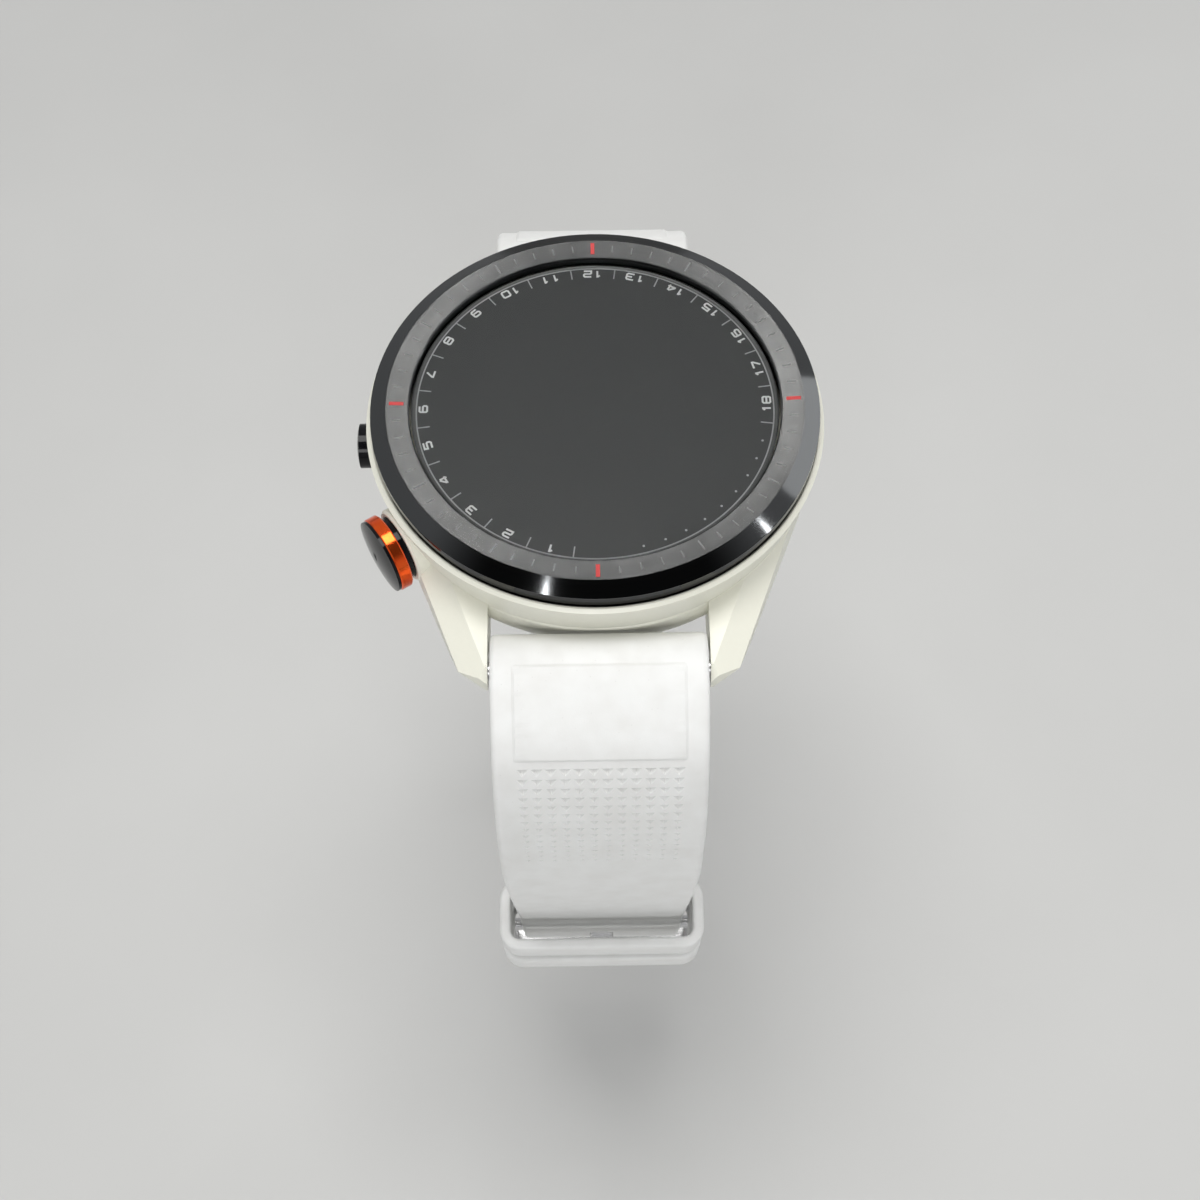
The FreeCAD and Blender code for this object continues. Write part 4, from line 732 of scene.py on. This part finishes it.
def strap_solid(name, outer, inner, widths):
    """Closed solid between the two side lines, its section rounded at every station."""
    bm = bmesh.new()
    rows = []
    for a, b, half in zip(outer, inner, widths):
        across = b - a
        span = across.length
        if span < 1e-4:
            rows.append([bm.verts.new((x, a.x, a.y)) for x in (-half + STRAP["edge"], half - STRAP["edge"])])
            continue
        direction = across / span
        row = []
        for x, depth in section(half, span, STRAP["edge"]):
            point = a + direction * depth
            row.append(bm.verts.new((x, point.x, point.y)))
        rows.append(row)
    count = max(len(row) for row in rows)
    for here, there in zip(rows, rows[1:]):
        if len(here) == len(there) == count:
            for k in range(count):
                m = (k + 1) % count
                bm.faces.new((here[k], here[m], there[m], there[k]))
            continue
        pole, full = (here, there) if len(here) == 2 else (there, here)
        quarter = count // 4
        for k in range(count):
            m = (k + 1) % count
            side_k = pole[1] if k < 2 * quarter else pole[0]
            side_m = pole[1] if m < 2 * quarter else pole[0]
            if side_k is side_m:
                bm.faces.new((full[k], full[m], side_k))
            else:
                bm.faces.new((full[k], full[m], side_m, side_k))
    for row in (rows[0], rows[-1]):
        if len(row) == count:
            bm.faces.new(row)
    return mesh_from(bm, name)


def box_mesh(bm, corner, opposite, turn=None):
    made = bmesh.ops.create_cube(bm, size=1.0)["verts"]
    lower, upper = Vector(corner), Vector(opposite)
    matrix = Matrix.Translation((lower + upper) / 2) @ Matrix.Diagonal((*(upper - lower), 1.0))
    bmesh.ops.transform(bm, matrix=(turn or Matrix.Identity(4)) @ matrix, verts=made)


def rod_mesh(bm, radius, half, centre=(0, 0), turn=None):
    """Cylinder along X through a point (y, z)."""
    matrix = Matrix.Translation((0, *centre)) @ Matrix.Rotation(math.radians(90), 4, "Y")
    bmesh.ops.create_cone(bm, cap_ends=True, segments=40, radius1=radius, radius2=radius,
                          depth=2 * half, matrix=(turn or Matrix.Identity(4)) @ matrix)


def cut_with(mesh, cutters, operation="DIFFERENCE"):
    """Boolean of a mesh with each of the cutters in turn; both are in millimetres."""
    body = bpy.data.objects.new("work", mesh)
    bpy.context.scene.collection.objects.link(body)
    helpers = []
    for cutter in cutters:
        helper = bpy.data.objects.new("cutter", cutter)
        bpy.context.scene.collection.objects.link(helper)
        modifier = body.modifiers.new("cut", "BOOLEAN")
        modifier.operation = operation
        modifier.solver = "EXACT"
        modifier.use_self = False
        modifier.object = helper
        helpers.append(helper)
    graph = bpy.context.evaluated_depsgraph_get()
    result = bpy.data.meshes.new_from_object(body.evaluated_get(graph))
    for obj in [body] + helpers:
        bpy.data.objects.remove(obj)
    result.materials.clear()
    return result


def latch_cutter():
    """Space for the pin and the quick-release claw under the hub."""
    turn = Matrix.Rotation(math.radians(-LATCH_TILT), 4, "X")
    half = STRAP["half"] + OVERRUN
    deep = STRAP["hub"] + OVERRUN
    clear, wide = LATCH["clear"], LATCH["half"]
    low_corner = (-wide, -LATCH["behind"], -LATCH["behind"])
    high_corner = (wide, LATCH["ahead"], LATCH["above"])
    way_corner = (-wide, -deep, -deep - OVERRUN)
    cutters = []
    for make in (lambda bm: rod_mesh(bm, clear, half, turn=turn),
                 lambda bm: box_mesh(bm, (-half, -clear, -deep), (half, clear, 0), turn),
                 lambda bm: box_mesh(bm, low_corner, high_corner, turn),
                 lambda bm: box_mesh(bm, way_corner, (wide, deep, -LATCH["roof"]), turn)):
        bm = bmesh.new()
        make(bm)
        cutters.append(mesh_from(bm, "cutter"))
    return cutters


class FaceLine:
    """The strap's outer side line, walked by its length from where it leaves the hub."""

    def __init__(self, outer, first):
        self.points = outer[first:]
        self.lengths = [0.0]
        for a, b in zip(self.points, self.points[1:]):
            self.lengths.append(self.lengths[-1] + (b - a).length)

    def at(self, distance):
        """Point and outward normal at a distance along the line."""
        index = 0
        while index < len(self.lengths) - 2 and self.lengths[index + 1] < distance:
            index += 1
        a, b = self.points[index], self.points[index + 1]
        along = (b - a).normalized()
        point = a + along * (distance - self.lengths[index])
        return point, Vector((-along.y, along.x))

    def place(self, x, distance, lift):
        point, normal = self.at(distance)
        point = point + normal * lift
        return (x, point.x, point.y)


PANEL = {"start": 0.6, "end": 10.7, "half": 8.8, "rise": 0.18, "corner": 0.35, "slope": 0.30}
DIMPLE = {"pitch": 1.44, "row": 1.30, "first": 12.05, "rows": 14, "count": 12, "depth": 0.42, "size": 1.22,
          "smallest": 0.5}


def panel_mesh(line):
    """Raised smooth panel that follows the strap's bend, with sloped sides."""
    p = PANEL
    columns = [-1.0 + 2.0 * k / 8 for k in range(9)]
    stations = 40
    bm = bmesh.new()

    def row_half(distance, inset):
        """Half width of the panel at a distance, allowing for its round corners."""
        begin, end = p["start"] + inset, p["end"] - inset
        radius = p["corner"]
        near = min(distance - begin, end - distance)
        half = p["half"] - inset
        if near >= radius:
            return half
        return half - radius + math.sqrt(max(radius ** 2 - (radius - near) ** 2, 0.0))

    def ledge(inset, lift):
        rows = []
        begin, end = p["start"] + inset, p["end"] - inset
        corner_steps = [p["corner"] * (1 - math.cos(math.radians(90.0 * k / 6))) for k in range(7)]
        distances = [begin + step for step in corner_steps]
        for k in range(1, stations):
            distances.append(begin + p["corner"] + (end - begin - 2 * p["corner"]) * k / stations)
        distances += [end - step for step in corner_steps[::-1]]
        for distance in distances:
            half = row_half(distance, inset)
            rows.append([bm.verts.new(line.place(c * half, distance, lift)) for c in columns])
        return rows

    foot = ledge(0.0, -0.25)
    shoulder = ledge(0.0, 0.02)
    top = ledge(p["slope"], p["rise"])
    for rows, flip in ((foot, True), (top, False)):
        for here, there in zip(rows, rows[1:]):
            for k in range(len(here) - 1):
                face = (here[k], here[k + 1], there[k + 1], there[k])
                bm.faces.new(face[::-1] if flip else face)

    def rim(rows):
        return (rows[0] + [row[-1] for row in rows[1:-1]] + rows[-1][::-1]
                + [row[0] for row in rows[-2:0:-1]])

    for lower, upper in ((rim(foot), rim(shoulder)), (rim(shoulder), rim(top))):
        for k in range(len(lower)):
            m = (k + 1) % len(lower)
            bm.faces.new((lower[k], lower[m], upper[m], upper[k]))
    spare = [v for row in shoulder for v in row[1:-1] if not v.link_faces]
    bmesh.ops.delete(bm, geom=spare, context="VERTS")
    return mesh_from(bm, "panel")


def dimple_mesh(line, last_row):
    """Rows of three-sided pits that shrink away from the panel."""
    d = DIMPLE
    bm = bmesh.new()
    for row in range(min(d["rows"], last_row)):
        share = row / (d["rows"] - 1)
        size = d["size"] * (1 + (d["smallest"] - 1) * share)
        depth = d["depth"] * (1 + (d["smallest"] - 1) * share)
        centre_s = d["first"] + row * d["row"]
        for column in range(d["count"]):
            x = (column - (d["count"] - 1) / 2) * d["pitch"]
            corners = [(x - size / 2, centre_s - size * 0.38), (x + size / 2, centre_s - size * 0.38),
                       (x, centre_s + size * 0.42)]
            deep = bm.verts.new(line.place(x, centre_s - size * 0.22, -depth))
            apex = Vector(deep.co)
            rim = []
            for cx, cs in corners:
                on_face = Vector(line.place(cx, cs, 0.0))
                rim.append(bm.verts.new(apex + (on_face - apex) * 1.35))
            bm.faces.new(rim)
            for k in range(3):
                bm.faces.new((rim[k], deep, rim[(k + 1) % 3]))
    return mesh_from(bm, "dimples")


def strap_matrix(side):
    """From the strap's own place about the pin to the row frame."""
    base = Matrix.Translation((0, side * PIN_PLACE.y, PIN_PLACE.z))
    if side > 0:
        return base
    return base @ Matrix.Rotation(math.pi, 4, "Z") @ Matrix.Rotation(math.radians(-TAIL_LEAN), 4, "X")


def dress_strap(mesh, line, rows, extra):
    mesh = cut_with(mesh, latch_cutter() + extra + [dimple_mesh(line, rows)])
    return cut_with(mesh, [panel_mesh(line)], "UNION")


def make_buckle_strap():
    outer, inner, bar, end = buckle_chains()
    widths = [half_width(p.y) for p in outer]
    mesh = strap_solid("buckle_strap", outer, inner, widths)
    bm = bmesh.new()
    loop = BAR_RADIUS + LOOP_WALL
    notch = TONGUE_HALF + TONGUE_GAP
    top = bar.y + loop + TONGUE_THICKNESS + TONGUE_GAP
    box_mesh(bm, (-notch, bar.x - 8, bar.y - 8), (notch, bar.x + 8, top))
    notch_cut = mesh_from(bm, "notch")
    bm = bmesh.new()
    rod_mesh(bm, BAR_RADIUS, 14.0, (bar.x, bar.y))
    bore = mesh_from(bm, "bore")
    line = FaceLine(outer, HUB_STEPS)
    mesh = dress_strap(mesh, line, DIMPLE["rows"], [notch_cut, bore])
    mesh.transform(strap_matrix(1))
    band = piece("strap_buckle_half", mesh, "upper_strap", FINISHES["strap_white"], 28.0)
    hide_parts("buckle_strap")
    return end


def tail_half_width(height, foot):
    """Half width of the tail half, rounded off towards its tip."""
    t = STRAP
    near = height - foot
    if near >= t["tip_radius"]:
        return half_width(height)
    bite = math.sqrt(max(1 - (1 - near / t["tip_radius"]) ** 2, 0.0))
    return max(t["end_half"] * bite, 0.4)


def make_tail_strap():
    outer, inner, foot = tail_chains()
    widths = [tail_half_width(p.y, foot) for p in outer]
    mesh = strap_solid("tail_strap", outer, inner, widths)
    holes = bmesh.new()
    for index in range(HOLE_COUNT):
        z = HOLE_START - index * HOLE_PITCH
        matrix = Matrix.Translation((0, 12.0, z)) @ Matrix.Rotation(math.radians(90), 4, "X")
        bmesh.ops.create_cone(holes, cap_ends=True, segments=40, radius1=HOLE_RADIUS, radius2=HOLE_RADIUS,
                              depth=12.0, matrix=matrix)
    line = FaceLine(outer, HUB_STEPS)
    mesh = dress_strap(mesh, line, DIMPLE["rows"], [mesh_from(holes, "holes")])
    mesh.transform(strap_matrix(-1))
    band = piece("strap_tail_half", mesh, "lower_strap", FINISHES["strap_white"], 28.0)
    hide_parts("tail_strap")


def keeper_mesh(end, distance, gap):
    """Soft loop round the buckle half: a rounded band swept round the strap."""
    k = KEEPER
    half = k["half"]
    inner_y = -STRAP["thick"] - gap
    outer_y = inner_y + k["slot"]
    corner = k["corner"]
    path = []
    for cx, cy, first in ((half - corner, outer_y - corner, 0.0), (half - corner, inner_y + corner, 90.0),
                          (corner - half, inner_y + corner, 180.0), (corner - half, outer_y - corner, 270.0)):
        for step in range(7):
            turn = math.radians(first + 90.0 * step / 6)
            path.append((Vector((cx, cy)) + corner * Vector((math.sin(turn), math.cos(turn))),
                         Vector((math.sin(turn), math.cos(turn)))))
    edge = k["edge"]
    arc = 4
    ring = []
    for along, away, first in ((k["width"] - edge, k["wall"] - edge, 0.0), (k["width"] - edge, edge, 90.0),
                               (edge, edge, 180.0), (edge, k["wall"] - edge, 270.0)):
        for step in range(arc + 1):
            turn = math.radians(first + 90.0 * step / arc)
            ring.append((along + edge * math.sin(turn), away + edge * math.cos(turn)))
    bm = bmesh.new()
    rows = []
    for point, normal in path:
        row = []
        for along, away in ring:
            spot = point + normal * away
            row.append(bm.verts.new((spot.x, spot.y, distance - STRAP["buckle_run"] + along)))
        rows.append(row)
    for i in range(len(rows)):
        here, there = rows[i], rows[(i + 1) % len(rows)]
        for m in range(len(ring)):
            n = (m + 1) % len(ring)
            bm.faces.new((here[m], here[n], there[n], there[m]))
    mesh = mesh_from(bm, "keeper")
    lean = Matrix.Rotation(math.radians(-STRAP["lean_angle"]), 4, "X")
    mesh.transform(Matrix.Translation((0, PIN_PLACE.y + end.x, PIN_PLACE.z + end.y)) @ lean)
    return mesh


def make_keepers(end):
    fixed = piece("keeper_fixed", keeper_mesh(end, FIXED_KEEPER_AT, 0.0), "upper_strap",
                  FINISHES["strap_white"])
    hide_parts("fixed_keeper")
    free = piece("keeper_free", keeper_mesh(end, FREE_KEEPER_AT, FREE_KEEPER_GAP), "keeper",
                 FINISHES["strap_white"])
    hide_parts("free_keeper")


# ---------------------------------------------------------------- studio

CAMERA_PLACE = Vector((0.188, -113.891, 154.41))
CAMERA_LEVEL = 13.7
CAMERA_PITCH = 59.642
CAMERA_YAW = 0.1
CAMERA_ROLL = -0.36
WATCH_TURN = 0.46
# focal length as a share of the sensor's width
FOCAL = 1.519333
SENSOR_WIDTH = 36.0


def make_camera():
    """Camera at the near end of the watch, above twelve o'clock, looking down at the dial."""
    pitch, yaw, roll = (math.radians(a) for a in (CAMERA_PITCH, CAMERA_YAW, CAMERA_ROLL))
    ahead = Vector((math.sin(yaw) * math.cos(pitch), math.cos(yaw) * math.cos(pitch), -math.sin(pitch)))
    level = Vector((math.cos(yaw), -math.sin(yaw), 0))
    upward = level.cross(ahead)
    right = level * math.cos(roll) + upward * math.sin(roll)
    up = upward * math.cos(roll) - level * math.sin(roll)
    turn = Matrix((right, up, -ahead)).transposed().to_4x4()
    stand = Matrix.Translation(CAMERA_PLACE * MM) @ turn
    turn_round = Matrix.Rotation(math.radians(180 - WATCH_TURN), 4, "Z")
    about = Matrix.Translation((0, 0, CAMERA_LEVEL * MM)) @ turn_round
    data = bpy.data.cameras.new("camera")
    data.sensor_width = SENSOR_WIDTH
    data.lens = SENSOR_WIDTH * FOCAL
    data.clip_start = 0.005
    data.clip_end = 20.0
    camera = bpy.data.objects.new("camera", data)
    bpy.context.scene.collection.objects.link(camera)
    camera.matrix_world = about @ stand
    bpy.context.scene.camera = camera


def make_lamp(name, place, aim, size, power, tint=(1.0, 1.0, 1.0)):
    data = bpy.data.lights.new(name, "AREA")
    data.shape = "RECTANGLE"
    data.size, data.size_y = size
    data.energy = power
    data.color = tint
    lamp = bpy.data.objects.new(name, data)
    bpy.context.scene.collection.objects.link(lamp)
    lamp.location = Vector(place)
    lamp.rotation_mode = "QUATERNION"
    lamp.rotation_quaternion = (Vector(aim) - Vector(place)).to_track_quat("-Z", "Y")


# the studio is darker round the camera, so polished faces turned to it stay black
SHADE_HEADING = (0.0, 0.505, 0.863)
SHADE_EDGE = 0.62
SHADE_HEART = 0.86
SHADE_LEVEL = 0.03
WORLD_LEVEL = 0.60
# metres
FLOOR_GAP = 0.0004
FLOOR_HALF = 3.0


def make_studio():
    floor_z = CAD_BOX[0].z - FLOOR_GAP
    bm = bmesh.new()
    bmesh.ops.create_grid(bm, x_segments=2, y_segments=2, size=FLOOR_HALF)
    floor_mesh = mesh_from(bm, "floor")
    floor = bpy.data.objects.new("floor", floor_mesh)
    floor.location.z = floor_z
    bpy.context.scene.collection.objects.link(floor)
    f = Finish("floor_pale", (0.60, 0.60, 0.59), 0.7)
    cloud = f.between(f.noise(0.02, 3.0), 0.3, 0.7)
    f.set("Base Color", f.mix(cloud, (0.59, 0.59, 0.58), (0.61, 0.61, 0.60)))
    floor_mesh.materials.append(f.material)

    world = bpy.data.worlds.new("studio")
    bpy.context.scene.world = world
    world.use_nodes = True
    tree = world.node_tree
    background = tree.nodes["Background"]
    background.inputs["Color"].default_value = (0.80, 0.81, 0.82, 1.0)
    place = tree.nodes.new("ShaderNodeTexCoord")
    facing = tree.nodes.new("ShaderNodeVectorMath")
    facing.operation = "DOT_PRODUCT"
    facing.inputs[1].default_value = SHADE_HEADING
    tree.links.new(place.outputs["Generated"], facing.inputs[0])
    dim = tree.nodes.new("ShaderNodeMapRange")
    dim.interpolation_type = "SMOOTHSTEP"
    for socket, number in (("From Min", SHADE_EDGE), ("From Max", SHADE_HEART),
                           ("To Min", WORLD_LEVEL), ("To Max", SHADE_LEVEL)):
        dim.inputs[socket].default_value = number
    tree.links.new(facing.outputs["Value"], dim.inputs[0])
    tree.links.new(dim.outputs[0], background.inputs["Strength"])

    # metres: place, aim and size, then watts
    make_lamp("key", (0.03, -0.06, 0.55), (0, 0, 0.01), (0.32, 0.28), 2.0, (1.0, 0.99, 0.97))
    make_lamp("fill", (0.0, 0.60, 0.35), (0, 0, 0), (0.50, 0.20), 2.1)
    make_lamp("side", (-0.45, -0.25, 0.30), (0, 0, 0), (0.30, 0.25), 0.42)
    make_lamp("rim", (-0.015, -0.369, 0.414), (0, 0, 0.014), (0.03, 0.006), 0.11)
    make_lamp("rim_spark", (0.053, -0.349, 0.414), (0, 0, 0.014), (0.012, 0.006), 0.05)
    make_lamp("near_spark", (0.106, 0.182, 0.42), (0, 0, 0.01), (0.009, 0.009), 0.010)
    make_lamp("side_spark", (-0.321, 0.015, 0.345), (0, 0, 0.01), (0.007, 0.007), 0.006)
    bpy.context.scene.view_settings.view_transform = "Standard"


paint_nodes()
make_camera()
make_studio()
make_dial()
make_bezel_marks()
strap_end = make_buckle_strap()
make_tail_strap()
make_keepers(strap_end)
